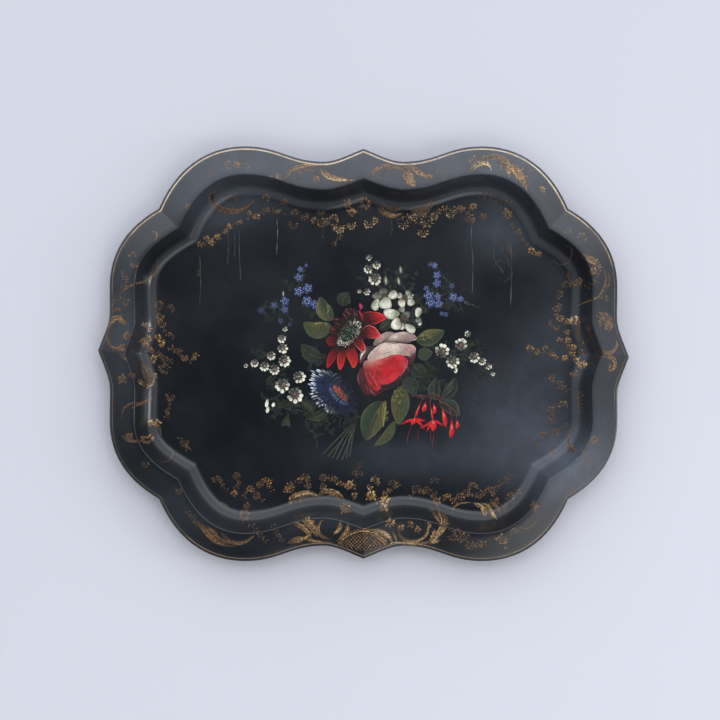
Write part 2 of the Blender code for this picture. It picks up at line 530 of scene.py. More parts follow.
class Coat:
    """One layer of paint: many strokes in one piece, each a thin closed body on the sheet."""

    def __init__(self, name, lift, seed):
        self.name, self.base, self.lift, self.random = name, lift, lift, random.Random(seed)
        self.points, self.normals, self.faces, self.colours, self.bristles = [], [], [], [], []

    def vertex(self, x, y, lift, colour, along, across):
        point, normal = drape(x, y, lift)
        self.points.append(point)
        self.normals.append(normal)
        self.colours.append((*np.clip(colour, 0.0, 1.0), 1.0))
        self.bristles.append((along * BRISTLES_ALONG + self.seed, across * BRISTLES_ACROSS, self.seed))
        return len(self.points) - 1

    def layer(self, flat=False):
        """Begin a stroke: above the ones before it, unless it lies flat beside them."""
        self.seed = self.random.random() * BRISTLE_SEEDS
        if not flat:
            self.lift += LAYER

    def stroke(self, knots, width, colour, across=2, steps=None, flat=False):
        """A stroke along a curve through the knots. width gives half widths, colour depends on (t, s)."""
        self.layer(flat)
        reach = float(np.sum(np.linalg.norm(np.diff(np.array(knots, float), axis=0), axis=1)))
        steps = steps or int(min(max(reach / STEP_LENGTH, FEWEST_STEPS), MOST_STEPS))
        spine = curve_through(knots, steps)
        slopes = directions(spine)
        width = width if callable(width) else leafy(width)
        colour = colour if callable(colour) else shaded(colour)
        shares = [-1 + 2 * column / (across - 1) for column in range(across)] + [-1, 1]
        lifts = [self.lift] * across + [EMBED, EMBED]

        def tip(place, t):
            here = (colour(t, 0.0), t * reach, 0.0)
            return [self.vertex(*place, lift, *here) for lift in (self.lift, EMBED)]

        start, start_low = tip(spine[0], 0.0)
        rows = []
        for step in range(1, steps):
            t = step / steps
            half = max(width(t), THINNEST)
            aside = half * np.array([-slopes[step][1], slopes[step][0]])
            row = []
            for s, lift in zip(shares, lifts):
                place = spine[step] + s * aside
                row.append(self.vertex(*place, lift, colour(t, s), t * reach, s * half))
            rows.append(row)
        end, end_low = tip(spine[-1], 1.0)
        right, left, right_low, left_low = 0, across - 1, across, across + 1
        for here, there in zip(rows, rows[1:]):
            for a in range(across - 1):
                self.faces.append((here[a], there[a], there[a + 1], here[a + 1]))
            self.faces.append((here[right_low], there[right_low], there[right], here[right]))
            self.faces.append((there[left_low], here[left_low], here[left], there[left]))
            self.faces.append((here[right_low], here[left_low], there[left_low], there[right_low]))
        row = rows[0]
        self.faces += [(start, row[a], row[a + 1]) for a in range(across - 1)]
        self.faces.append((start_low, row[right_low], row[right], start))
        self.faces.append((row[left_low], start_low, start, row[left]))
        self.faces.append((start_low, row[left_low], row[right_low]))
        row = rows[-1]
        self.faces += [(row[a + 1], row[a], end) for a in range(across - 1)]
        self.faces.append((row[right_low], end_low, end, row[right]))
        self.faces.append((end_low, row[left_low], row[left], end))
        self.faces.append((row[right_low], row[left_low], end_low))

    def patch(self, knots, colour, rings=8, steps=48, centre=None):
        """A field of paint inside a closed curve through the knots. colour may depend on (x, y)."""
        self.layer()
        colour = evenly(colour)
        border = curve_through(knots, steps, closed=True)
        after = np.roll(border, -1, axis=0)
        if np.sum(border[:, 0] * after[:, 1] - after[:, 0] * border[:, 1]) < 0:
            border = border[::-1]
        centre = np.mean(border, axis=0) if centre is None else np.array(centre, float)
        rows = []
        for ring in range(rings):
            places = centre + (border - centre) * (1 - ring / rings)
            rows.append([self.vertex(x, y, self.lift, colour(x, y), x, y) for x, y in places])
        low = [self.vertex(x, y, EMBED, colour(x, y), x, y) for x, y in border]
        middle = self.vertex(*centre, self.lift, colour(*centre), *centre)
        below = self.vertex(*centre, EMBED, colour(*centre), *centre)
        for here in range(steps):
            there = (here + 1) % steps
            for outer, inner in zip(rows, rows[1:]):
                self.faces.append((outer[here], outer[there], inner[there], inner[here]))
            self.faces.append((rows[-1][here], rows[-1][there], middle))
            self.faces.append((low[here], low[there], rows[0][there], rows[0][here]))
            self.faces.append((low[there], low[here], below))

    def dot(self, x, y, radius, colour, narrow=1.0, turn=0.0, steps=10, rings=2):
        """An oval touch of paint, radius long and radius * narrow wide, turned by turn."""
        angles = np.radians(np.arange(0, 360, 360 / steps))
        c, s = heading(turn)
        ring = [(radius * math.cos(a), radius * narrow * math.sin(a)) for a in angles]
        knots = [(x + u * c - v * s, y + u * s + v * c) for u, v in ring]
        self.patch(knots, colour, rings, steps)

    def restart(self):
        """Go back to the coat's own height, for a motif that lies clear of the others."""
        self.lift = self.base

    def done(self, finish):
        piece = add_piece(self.name, self.points, self.faces, [finish])
        for name, kind, key, values in (
            ("paint", "FLOAT_COLOR", "color", self.colours),
            ("brush", "FLOAT_VECTOR", "vector", self.bristles),
        ):
            attribute = piece.data.attributes.new(name, kind, "POINT")
            attribute.data.foreach_set(key, np.array(values, np.float32).ravel())
        lay_flat(piece.data, self.normals)
        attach(piece, "root")


# ------------------------------------------------------------------ the bouquet
# Places are in millimetres from the floor's middle. They were read from the photo under a
# grid, as were those of the gold ornament.
OLIVE, OLIVE_LIGHT, GREEN, DARK_GREEN = srgb("565330"), srgb("8f864c"), srgb("303f2e"), srgb("18221d")
GREY_GREEN, MOSS, STEM = srgb("2f3a36"), srgb("242e22"), srgb("2e332b")
WHITE, CREAM, DIM_WHITE, BROWN = srgb("dfdcc6"), srgb("d9cfb4"), srgb("84827a"), srgb("4e3b32")
BLUE, BLUE_LIGHT, BLUE_DARK = srgb("2c4079"), srgb("a8b9de"), srgb("0e1428")
RED, SCARLET, CRIMSON, MAROON = srgb("b8141c"), srgb("e0423a"), srgb("7a0e16"), srgb("2e0c12")
MAUVE, MAUVE_LIGHT, MAUVE_DARK = srgb("877068"), srgb("b6a190"), srgb("3c2e2c")
PALE_ROSE, ROSE_LIGHT, PINK, PINK_RIM = srgb("b59c8a"), srgb("eadac6"), srgb("b0305c"), srgb("e07a72")

# leaves: stem end, tip, half width, bend, and colours of the two halves
LEAVES = (
    ((-26, 58), (-18, 75), 9, 0.10, DARK_GREEN, MOSS),
    ((-50, -6), (-76, 12), 9, 0.12, DARK_GREEN, MOSS),
    ((60, -12), (77, -26), 9, -0.1, DARK_GREEN, DARK_GREEN),
    ((48, -28), (64, -52), 9, 0.1, DARK_GREEN, GREY_GREEN),
    ((20, 30), (36, 42), 6, 0.0, MOSS, DARK_GREEN),
    ((-42, -66), (-68, -80), 6, 0.1, MOSS, DARK_GREEN),
    ((-30, -72), (-48, -62), 4, 0.1, MOSS, MOSS),
    ((-76, -58), (-62, -72), 4, 0.1, DARK_GREEN, MOSS),
    ((-92, -76), (-100, -88), 4, 0.1, DARK_GREEN, MOSS),
    ((-97, -80), (-90, -90), 3, 0.1, DARK_GREEN, MOSS),
    ((66, -4), (85, 2), 8, 0.05, MOSS, GREEN),
    ((87, -57), (90, -30), 8, 0.08, GREY_GREEN, DARK_GREEN),
    ((95, -55), (113, -29), 7, -0.12, GREY_GREEN, DARK_GREEN),
    ((92, -58), (117, -77), 9, 0.12, GREY_GREEN, DARK_GREEN),
    ((-37, 41), (-53, 70), 9.5, 0.12, OLIVE, GREEN),
    ((-39, 35), (-74, 38), 10.5, 0.22, GREEN, OLIVE),
    ((64, 16), (99, 28), 10, -0.05, OLIVE, GREEN),
    ((39, -82), (13, -113), 6, 0.1, GREEN, OLIVE),
    ((24, -58), (3, -106), 14.5, -0.05, OLIVE, GREEN),
    ((47, -38), (43, -87), 11.5, 0.0, GREEN, OLIVE),
    ((27, -57), (24, -90), 4.5, -0.1, OLIVE_LIGHT * 0.75, OLIVE),
)
YELLOW_LIGHTS = (
    (27, -67), (29, -73), (24, -64), (44, -44), (39, -46), (47, -50), (41, -52), (36, -55), (72, 22),
    (79, 21), (74, 18), (84, 20), (-58, 37), (-52, 38), (-46, 37), (-44, 52), (-43, 58), (28, -80),
    (43, -60),
)

# small white flowers: x, y, radius, and the angle that their bright petals face
WHITE_FLOWERS = (
    (-96, 31, 3.7, -70), (-100, 19, 6.1, -80), (-99, 7, 7.1, -60), (-113, -2, 6.1, -60),
    (-97, -8, 8.6, -50), (-121, -15, 6.5, -80), (-133, -11, 5.7, -90), (-109, -19, 7.1, -70),
    (-144, -14, 3.2, -60), (-99, -38, 10.2, -90), (-79, -28, 8.8, -40), (-84, -50, 11.2, -60),
    (96, 3, 10.4, 60), (119, 11, 8.6, 70), (109, -9, 9.2, -80), (128, 24, 4.6, 150),
    (135, -4, 7.7, -60), (145, -9, 5.5, -60), (153, -15, 4.6, -70), (158, -24, 3.3, -60),
    (7, 118, 4.4, -90), (6, 104, 6.4, -100), (16, 109, 5.6, -90), (14, 92, 9.0, -90), (4, 76, 4.9, -60),
    (-5, 77, 3.0, -90), (55, 70, 6.5, -30),
)
# the big round petals: x, y, half length, half width, turn, lightness, and the side that shades off
BLOSSOM = (
    (17, 71, 5.5, 4, 10, 0.16, 90), (24, 76, 5, 4, 30, 0.1, 90), (55, 74, 4, 3, 120, 0.35, 60),
    (47, 54, 3.5, 3, 0, 0.35, 200), (52, 47, 5, 4, 30, 0.12, 200), (44, 71, 3.4, 3.2, 0, 0.65, 120),
    (15, 60, 6.8, 4.4, 70, 0.75, 150), (36, 72, 5.6, 4.6, 35, 0.85, 110), (57, 69, 3.2, 3, 0, 0.7, 60),
    (58, 63, 4.2, 4, 0, 0.8, 30), (47, 62, 5, 4, 100, 0.85, 100), (27, 61.5, 7, 6.6, 0, 1.0, 110),
    (34, 49, 8.8, 5.6, -8, 0.95, -10), (67, 41, 3.5, 2.8, 20, 0.2, 90),
    (67, 51, 5.5, 3.7, 75, 0.85, -20), (57, 31, 7, 4.2, -35, 0.85, 60),
    (47, 33.5, 4, 3.3, 60, 0.85, 60), (40, 36.5, 6.8, 5.6, 80, 1.0, 20),
)
BLOSSOM_SIZE = 1.1
BLOSSOM_HEARTS = ((25, 72, 4.2), (51, 68, 4.4), (50, 44, 6.0))
BUDS = (
    ((44, 84), (42, 95), 3.0), ((28, 84), (27, 96), 3.4), ((46, 98), (45, 108), 3.0),
    ((-98, 70), (-98, 78), 1.8),
)
# white bud tips: x, y and half length
WHITE_TIPS = ((-118, -60, 5.5), (-117, -68, 4.5), (-110, -62, 3.0), (113, -20, 3.6), (69, 38, 3.5))

# blue flowers: x, y, radius and strength
BLUE_FLOWERS = (
    (-70, 108, 2.2, 0.9), (-77, 103, 3.7, 1.0), (-79, 93, 4.9, 0.9), (-68, 80, 5.7, 1.0),
    (-79, 76, 5.7, 1.0), (-96, 64, 5.3, 0.9), (-69, 64, 6.2, 1.0), (-59, 60, 5.4, 1.0),
    (-96, 54, 4.4, 0.7), (-109, 59, 4.4, 0.6), (-125, 53, 4.2, 0.35), (-101, 40, 3.8, 0.35),
    (-90, 36, 2.6, 0.3), (87, 108, 3.8, 1.0), (81, 109, 2.4, 0.5), (90, 96, 4.6, 1.0),
    (90, 86, 4.9, 0.9), (77, 80, 3.4, 0.8), (80, 71, 5.8, 1.0), (91, 70, 4.2, 0.9), (82, 62, 5.3, 1.0),
    (92, 61, 5.3, 1.0), (110, 69, 5.3, 1.0), (119, 67, 3.8, 1.0), (125, 63, 1.7, 0.9),
    (108, 83, 3.6, 0.5), (96, 49, 2.9, 0.6), (101, 48, 2.9, 0.6),
)
SPRIGS = (  # fine green stems behind the small flowers
    ((-69, 110), (-74, 98), (-74, 84), (-66, 68), (-54, 56)),
    ((-134, 55), (-118, 57), (-104, 57), (-92, 46), (-84, 34)),
    ((-98, 78), (-97, 60), (-92, 48)),
    ((-94, 36), (-98, 14), (-94, -10), (-84, -20)),
    ((-146, -14), (-124, -13), (-106, -14), (-88, -10)),
    ((-120, -58), (-110, -54), (-92, -44), (-74, -40)),
    ((-118, -62), (-96, -66), (-74, -70), (-56, -74)),
    ((80, 117), (86, 108), (90, 90), (86, 64), (78, 48)),
    ((84, 110), (97, 96), (104, 88), (110, 76)),
    ((141, 56), (126, 63), (108, 66), (96, 56)),
    ((146, 55), (132, 60), (122, 66)),
    ((12, 126), (9, 112), (13, 96), (22, 80)),
    ((160, -26), (148, -12), (128, -2), (98, -2), (82, -10)),
    ((128, 26), (118, 12), (100, -4)),
    ((113, -22), (108, -12), (96, 0)),
    ((-63, -87), (-60, -98), (-57, -110), (-59, -114)),
    ((158, -30), (163, -36), (166, -46)),
)
# where the stems are held together, and their cut ends
BUNCH_TIE = np.array([-11.0, -83.0])
BUNCH = ((-50, -123), (-44, -126), (-38, -128), (-33, -130), (-27, -131), (-21, -128), (-17, -126))


def paint_leaf(coat, stem, tip, half, bend, upper, lower):
    """A leaf in two halves with a pale midrib, side veins and a light border."""
    stem, tip = np.array(stem, float), np.array(tip, float)
    along = tip - stem
    aside = np.array([-along[1], along[0]])
    forward, unit = along / np.linalg.norm(along), aside / np.linalg.norm(aside)
    middle = (stem + tip) / 2 + bend * aside
    spine = [stem, middle, tip]
    edge, deep = mixed(upper, OLIVE_LIGHT, 0.35), mixed(lower, DARK_GREEN, 0.35)
    shape = leafy(half, 0.72, 0.45)
    phase = coat.random.uniform(0, 6)

    def body(t, s):
        here = mixed(deep, upper, smooth(-0.25, 0.8, s) * (0.75 + 0.25 * math.sin(5 * t + phase)))
        here = mixed(here, edge * 0.7, 0.55 * smooth(0.72, 1.0, -s))
        return here * (1 - 0.4 * math.exp(-((s / 0.22) ** 2))) * (0.72 + 0.28 * smooth(0.0, 0.4, t))

    coat.stroke(spine, shape, body, across=11)
    curve = curve_through(spine, LEAF_STEPS)
    # five veins on each side, at even steps along the midrib
    for side, tint in ((-1, lower), (1, upper)):
        for at in range(3, 18, 3):
            start, reach = curve[at], 0.62 * shape(at / LEAF_STEPS)
            end = start + unit * reach * side + forward * reach * 0.75
            tone = mixed(tint, edge, 0.25 + 0.35 * coat.random.random())
            vein = [start, (start + end) / 2 + along * 0.01, end]
            coat.stroke(vein, leafy(0.34, 0.8, 0.4), shaded(tone, tone * 0.8), steps=5, flat=True)
    for hatch in range(int(half * 1.6)):
        t = coat.random.uniform(0.3, 0.8)
        place = curve[int(LEAF_STEPS * t)] + unit * shape(t) * coat.random.uniform(0.1, 0.75)
        way = mixed(forward, unit, coat.random.uniform(0.2, 0.6)) * coat.random.uniform(0.8, 1.8)
        tone = mixed(upper, edge, coat.random.random())
        coat.stroke([place - way, place + way], leafy(0.24), tone, steps=4, flat=hatch > 0)
    coat.stroke(spine, leafy(0.36, 0.5, 0.4), shaded(edge * 0.9, edge * 0.7, lower))
    border = [spine[0] + unit * 0.2, middle + unit * half * 0.93, tip]
    coat.stroke(border, leafy(0.3, 0.6), shaded(lower, mixed(upper, edge, 0.5), edge))


def paint_leaves():
    coat = Coat("leaves", lift=0.04, seed=3)
    for leaf in LEAVES:
        paint_leaf(coat, *leaf)
    for x, y in YELLOW_LIGHTS:
        for hatch in range(4):
            at_x, at_y = x + coat.random.uniform(-1.6, 1.6), y + coat.random.uniform(-2, 2)
            dx, dy = coat.random.uniform(0.5, 1.2), coat.random.uniform(0.6, 1.5)
            light = mixed(OLIVE_LIGHT, srgb("b8ab5c"), coat.random.random() * 0.6)
            knots = [(at_x - dx, at_y - dy), (at_x + dx, at_y + dy)]
            coat.stroke(knots, leafy(0.3), shaded(light * 0.6, light), flat=hatch > 0)
    coat.done(PAINT)


# dim small leaves behind the flowers: x, y, spread, number and strength
FOLIAGE = (
    (-100, -66, 14, 26, 0.9), (-72, -66, 14, 24, 1.0), (-56, -86, 14, 20, 0.8),
    (-112, -44, 14, 18, 0.8), (-128, -4, 14, 16, 0.7), (-104, -28, 12, 16, 0.9), (-60, -4, 14, 22, 1.0),
    (-110, 52, 16, 18, 0.7), (-84, 88, 12, 12, 0.6), (-66, 56, 10, 14, 0.8), (30, 90, 14, 18, 0.8),
    (54, 92, 14, 14, 0.7), (8, 96, 12, 12, 0.6), (70, 62, 12, 18, 0.8), (94, 78, 14, 16, 0.7),
    (112, 62, 12, 14, 0.7), (112, -2, 18, 24, 0.8), (134, 4, 14, 16, 0.7), (80, 14, 12, 14, 0.8),
    (146, -20, 12, 12, 0.6), (76, -28, 16, 26, 0.9), (72, -44, 14, 18, 0.8), (-12, -74, 14, 18, 0.8),
    (-30, -88, 14, 18, 0.7), (62, 44, 12, 14, 0.8), (104, -44, 14, 16, 0.8),
)


def paint_foliage():
    coat = Coat("dim_foliage", lift=0.012, seed=7)
    for x, y, spread, count, strength in FOLIAGE:
        coat.restart()
        for leaf in range(count):
            direction = heading(coat.random.uniform(0, 360))
            place = np.array([x, y]) + direction * spread * math.sqrt(coat.random.random())
            way = heading(coat.random.uniform(0, 360)) * coat.random.uniform(2.5, 7.5)
            green = mixed(MOSS, GREEN, coat.random.random())
            tone = mixed(BLACK, green, strength * coat.random.uniform(0.25, 0.8))
            knots = [place - way, place + way * 0.1, place + way]
            shape = leafy(coat.random.uniform(0.9, 3.0), 0.8)
            tones = shaded(tone * 0.5, tone, side=tone * 0.5)
            coat.stroke(knots, shape, tones, across=3, flat=leaf % 4 > 0)
    coat.done(PAINT)


def paint_stems():
    coat = Coat("stems", lift=0.022, seed=4)
    for knots in SPRIGS:
        coat.stroke(knots, leafy(0.42, 0.4), shaded(STEM * 0.5, STEM, STEM * 0.7))
        for x, y in curve_through(knots, 5)[1:5]:
            turn = coat.random.uniform(0, 2 * math.pi)
            reach = coat.random.uniform(2.5, 4.5)
            end = (x + reach * math.cos(turn), y + reach * math.sin(turn))
            coat.stroke([(x, y), end], leafy(0.9, 0.8), shaded(MOSS, mixed(MOSS, GREEN, 0.5), MOSS))
    shadow = shaded(DARK_GREEN * 0.7, STEM * 0.8, srgb("413d37"))
    light = shaded(STEM, srgb("5a554b"), STEM)
    for at, end in enumerate(BUNCH):
        end = np.array(end, float)
        sway = 2.0 * math.sin(2.1 * at)
        knots = [BUNCH_TIE + (at - 3) * np.array([0.7, 0.2]), (BUNCH_TIE + end) / 2 + (sway, 1.0), end]
        coat.stroke(knots, lambda t: 0.4 + 0.4 * t, shadow)
        coat.stroke([knot + (0.9, 0.0) for knot in knots], leafy(0.24, 0.4), light)
    coat.done(PAINT)


def paint_white_flower(coat, x, y, radius, facing):
    """A ring of short petals, the nearer ones bright and the far ones in shade, round a brown heart."""
    coat.restart()
    middle = np.array([x, y])
    petals = 9 if radius > 5 else 7
    start = coat.random.uniform(0, 360)
    for petal in range(petals):
        angle = start + 360 * petal / petals + coat.random.uniform(-8, 8)
        near = 0.5 + 0.5 * math.cos(math.radians(angle - facing))
        reach = radius * (0.8 + 0.2 * near) * coat.random.uniform(0.92, 1.05)
        direction = heading(angle)
        knots = [middle + direction * radius * 0.42, middle + direction * reach]
        light = mixed(DIM_WHITE * 0.4, WHITE, smooth(0.12, 0.85, near))
        shape = leafy(radius * (0.17 + 0.06 * near), 0.45, 0.6)
        coat.stroke(knots, shape, shaded(light * 0.5, light, light), steps=7)
    shadow = (x - 0.2 * radius, y, 0.4 * radius, 0.4 * radius, 0, BROWN * 0.4, 0.8)
    coat.dot(x, y, radius * 0.42, wet(mixed(BROWN, DIM_WHITE, 0.15), shadow))
    for _ in range(5):
        direction = heading(coat.random.uniform(0, 360))
        spot = middle + direction * radius * 0.38 * coat.random.random()
        tone = mixed(CREAM, BROWN, coat.random.random() * 0.7)
        coat.stroke([spot - 0.5, spot + 0.5], 0.3, tone, steps=4)


def cupped(middle, half_length, half_width, turn, light, shade_side):
    """The colour of a round petal: full in the middle, darker at its rim, most of all on one side."""
    along, aside, shade = heading(turn), heading(turn + 90), heading(shade_side)

    def colour(x, y):
        offset = np.array([x, y]) - middle
        rim = math.hypot(offset @ along / half_length, offset @ aside / half_width)
        turned = smooth(-0.35, 1.0, offset @ shade / half_width)
        return mixed(light, light * (0.3, 0.32, 0.24), max(0.6 * smooth(0.6, 1.0, rim), 0.95 * turned))

    return colour


def wavy_oval(x, y, half_length, half_width, turn, phase):
    """Knots of an oval whose edge swells and dips three times round."""
    along, aside = heading(turn), heading(turn + 90)
    knots = []
    for angle in range(0, 360, 20):
        u, v = heading(angle) * (1 + 0.08 * math.sin(math.radians(3 * angle) + phase))
        knots.append((x, y) + along * half_length * u + aside * half_width * v)
    return knots


def paint_white_flowers():
    coat = Coat("white_flowers", lift=0.10, seed=5)
    for flower in WHITE_FLOWERS:
        paint_white_flower(coat, *flower)
    for stem, tip, half in BUDS:
        coat.stroke([stem, tip], leafy(half, 0.7, 0.4), shaded(MOSS, GREY_GREEN, MOSS), across=7)
        coat.stroke([stem, tip], leafy(half * 0.4, 0.8, 0.4), shaded(DIM_WHITE * 0.7, CREAM * 0.6, MOSS))
    for x, y, reach in WHITE_TIPS:
        knots = [(x - 1, y - reach), (x + 1, y + reach)]
        coat.stroke(knots, leafy(2.0, 0.6, 0.4), shaded(WHITE, WHITE, DIM_WHITE), across=7)
    coat.done(PAINT)


def paint_white_blossom():
    coat = Coat("white_blossom", lift=0.22, seed=6)
    for x, y, half_length, half_width, turn, lightness, shade_side in BLOSSOM:
        half_length, half_width = BLOSSOM_SIZE * half_length, BLOSSOM_SIZE * half_width
        light = mixed(DIM_WHITE * 0.3, WHITE, lightness)
        colour = cupped((x, y), half_length, half_width, turn, light, shade_side)
        phase = coat.random.uniform(0, 6)
        for wider, paint, rings in ((0.7, BLACK, 2), (0.0, colour, 6)):
            border = wavy_oval(x, y, half_length + wider, half_width + wider, turn, phase)
            coat.patch(border, paint, rings, steps=36)
        for fold in (-1, 0, 1):
            start = np.array([x, y]) + heading(shade_side + 30 * fold) * half_width * 0.8
            end = np.array([x, y]) - heading(shade_side - 25 * fold) * half_width * 0.3
            tones = shaded(light * 0.35, light * 0.8)
            coat.stroke([start, end], leafy(0.35, 0.5, 0.4), tones, flat=fold > -1)
    for x, y, radius in BLOSSOM_HEARTS:
        coat.dot(x, y, radius * 0.6, BROWN * 0.8, steps=12)
        for stamen in range(16):
            direction = heading(stamen * 22.5 + coat.random.uniform(-9, 9))
            start = np.array([x, y]) + direction
            end = np.array([x, y]) + direction * radius * coat.random.uniform(0.8, 1.25)
            coat.stroke([start, end], 0.3, shaded(BROWN, BROWN * 0.7, CREAM * 0.5), steps=5)
    coat.done(PAINT)


def paint_blue_flowers():
    coat = Coat("blue_flowers", lift=0.10, seed=8)
    for x, y, radius, strength in BLUE_FLOWERS:
        coat.restart()
        start = coat.random.uniform(0, 72)
        for petal in range(5):
            angle = start + 72 * petal
            lit = 0.5 + 0.5 * heading(angle) @ heading(120)
            tone = mixed(BLACK, mixed(BLUE_DARK, BLUE, 0.45 + 0.5 * lit), strength)
            centre = np.array([x, y]) + heading(angle) * radius * 0.56
            hollow = (*centre, radius * 0.3, radius * 0.3, 0, tone * 0.6, 0.7)
            coat.dot(*centre, radius * 0.48, wet(tone, hollow))
            rim = [centre + heading(angle + turn) * radius * 0.42 for turn in (-60, 0, 60)]
            pale = mixed(BLACK, mixed(BLUE, BLUE_LIGHT, 0.25 + 0.6 * lit), strength)
            coat.stroke(rim, leafy(radius * 0.06, 0.5), shaded(tone, pale, tone), steps=6)
        coat.dot(x, y, radius * 0.36, mixed(BLACK, BLUE_DARK, strength), steps=8)
        pale = mixed(BLACK, BLUE_LIGHT, strength * 0.85)
        for part in range(6):
            here, there = heading(start + 60 * part), heading(start + 60 * part + 42)
            ways = (here * radius * 0.47, (here + there) * radius * 0.25, there * radius * 0.47)
            coat.stroke([(x, y) + way for way in ways], leafy(radius * 0.1, 0.5), pale, steps=5)
        if radius > 3.5:
            heart = mixed(BLACK, CREAM, strength * 0.8)
            coat.stroke([(x - 0.3, y - 0.3), (x + 0.3, y + 0.3)], 0.35, heart, steps=4)
    coat.done(PAINT)


ASTER = np.array([-34.0, -48.0])
ASTER_HEART = np.array([-28.5, -48.0])
ASTER_TURN = -47.0
ASTER_LONG, ASTER_WIDE = 41, 27  # half sizes
ASTER_CUP = ((13, 4.5), (18, 11))  # half sizes of the inner rays' ring, inside and outside
ASTER_RINGS = ((1.0, 60), (0.86, 54), (0.71, 46), (0.57, 38))  # size and number of rays
ASTER_SEPALS = (
    ((-41, -31), (-30, -24), 0.8), ((-38, -34), (-26, -29), 0.6), ((-34, -37), (-24, -33), 0.4),
)


def paint_aster():
    """A blue flower turned away: white tips on its near side, the rest sinking into the dark."""
    coat = Coat("blue_aster", lift=0.05, seed=9)
    night = wet(
        srgb("0b0d12"),
        (-46, -40, 14, 14, 0, srgb("18233c"), 0.9), (-30, -66, 14, 8, -50, srgb("121a30"), 0.6),
    )
    coat.dot(*ASTER, 30, night, 0.6, ASTER_TURN, steps=44, rings=6)
    long, wide = heading(ASTER_TURN), heading(ASTER_TURN + 90)
    for ring, (size, rays) in enumerate(ASTER_RINGS):
        for ray in range(rays):
            angle = 360 * (ray + 0.5 * (ring % 2)) / rays + coat.random.uniform(-3, 3)
            u, v = heading(angle)
            outward = (long * ASTER_LONG * u + wide * ASTER_WIDE * v) * size
            facing = math.atan2(outward[1], outward[0])

            def towards(degrees, low):
                return smooth(low, 0.8, math.cos(facing - math.radians(degrees)))

            lit, glow = towards(184, 0.05), max(towards(195, -0.3), 0.2 * towards(290, 0.0))
            outward *= coat.random.uniform(0.9, 1.04) * (0.8 + 0.2 * lit)
            start, end = ASTER + outward * 0.72, ASTER + outward
            bend = np.array([outward[1], -outward[0]]) * coat.random.uniform(-0.02, 0.06)
            blue = mixed(srgb("0b0e15"), srgb("283a66"), 0.06 + 0.85 * glow * coat.random.random())
            white = mixed(srgb("7f93b2"), srgb("e8ebe6"), coat.random.random() ** 0.6)
            shine = lit * max(1 - 0.5 * ring, 0.0) * (1.0 if coat.random.random() < 0.8 else 0.3)
            tip = mixed(blue, white, shine)
            half = 0.7 + 0.35 * coat.random.random()
            knots = [start, (start + end) / 2 + bend, end]
            coat.stroke(knots, leafy(half, 0.55, 0.66), shaded(blue * 0.4, blue * 0.7, tip, tip), steps=8)
    for ray in range(60):
        angle = 6 * ray + coat.random.uniform(-3, 3)
        u, v = heading(angle)
        lit = smooth(-0.2, 0.9, math.cos(math.radians(angle + ASTER_TURN - 215)))
        knots = [ASTER_HEART + long * u * a + wide * v * b for a, b in ASTER_CUP]
        tone = mixed(srgb("0f1626"), srgb("60769e"), coat.random.random() * (0.12 + 0.73 * lit))
        tones = shaded(tone * 0.6, tone, tone * 0.7)
        coat.stroke(knots, leafy(0.8, 0.5, 0.5), tones, steps=6, flat=ray % 2 > 0)
    orange = wet(
        srgb("5c2a20"),
        (-33, -44, 7, 2.5, ASTER_TURN, srgb("964630"), 0.8),
        (-21, -53, 6, 3, ASTER_TURN, srgb("3c2020"), 0.8),
    )
    coat.dot(*ASTER_HEART, 12.5, orange, 0.34, ASTER_TURN, steps=28, rings=3)
    for speck in range(60):
        u, v = coat.random.uniform(-1, 1), coat.random.uniform(-1, 1)
        spot = ASTER_HEART + long * u * 13 + wide * v * 4.6 * math.sqrt(max(0, 1 - u * u))
        tone = mixed(srgb("3c2530"), srgb("b98a5a"), coat.random.random() ** 1.5)
        end = spot + heading(coat.random.uniform(20, 80)) * 1.4
        coat.stroke([spot, end], 0.38, tone, steps=4, flat=speck > 0)
    for start, end, strength in ASTER_SEPALS:
        knots = [start, (np.array(start) + end) / 2 + (0, 2), end]
        coat.stroke(knots, leafy(1.1), shaded(BLUE_DARK, srgb("4c5664") * strength, BLACK))
    coat.done(PAINT)


RED_HEART = np.array([-17.5, 25.5])
RED_HEART_TURN = 51.0
RED_HEART_LONG, RED_HEART_WIDE = 18.5, 10.5  # half sizes
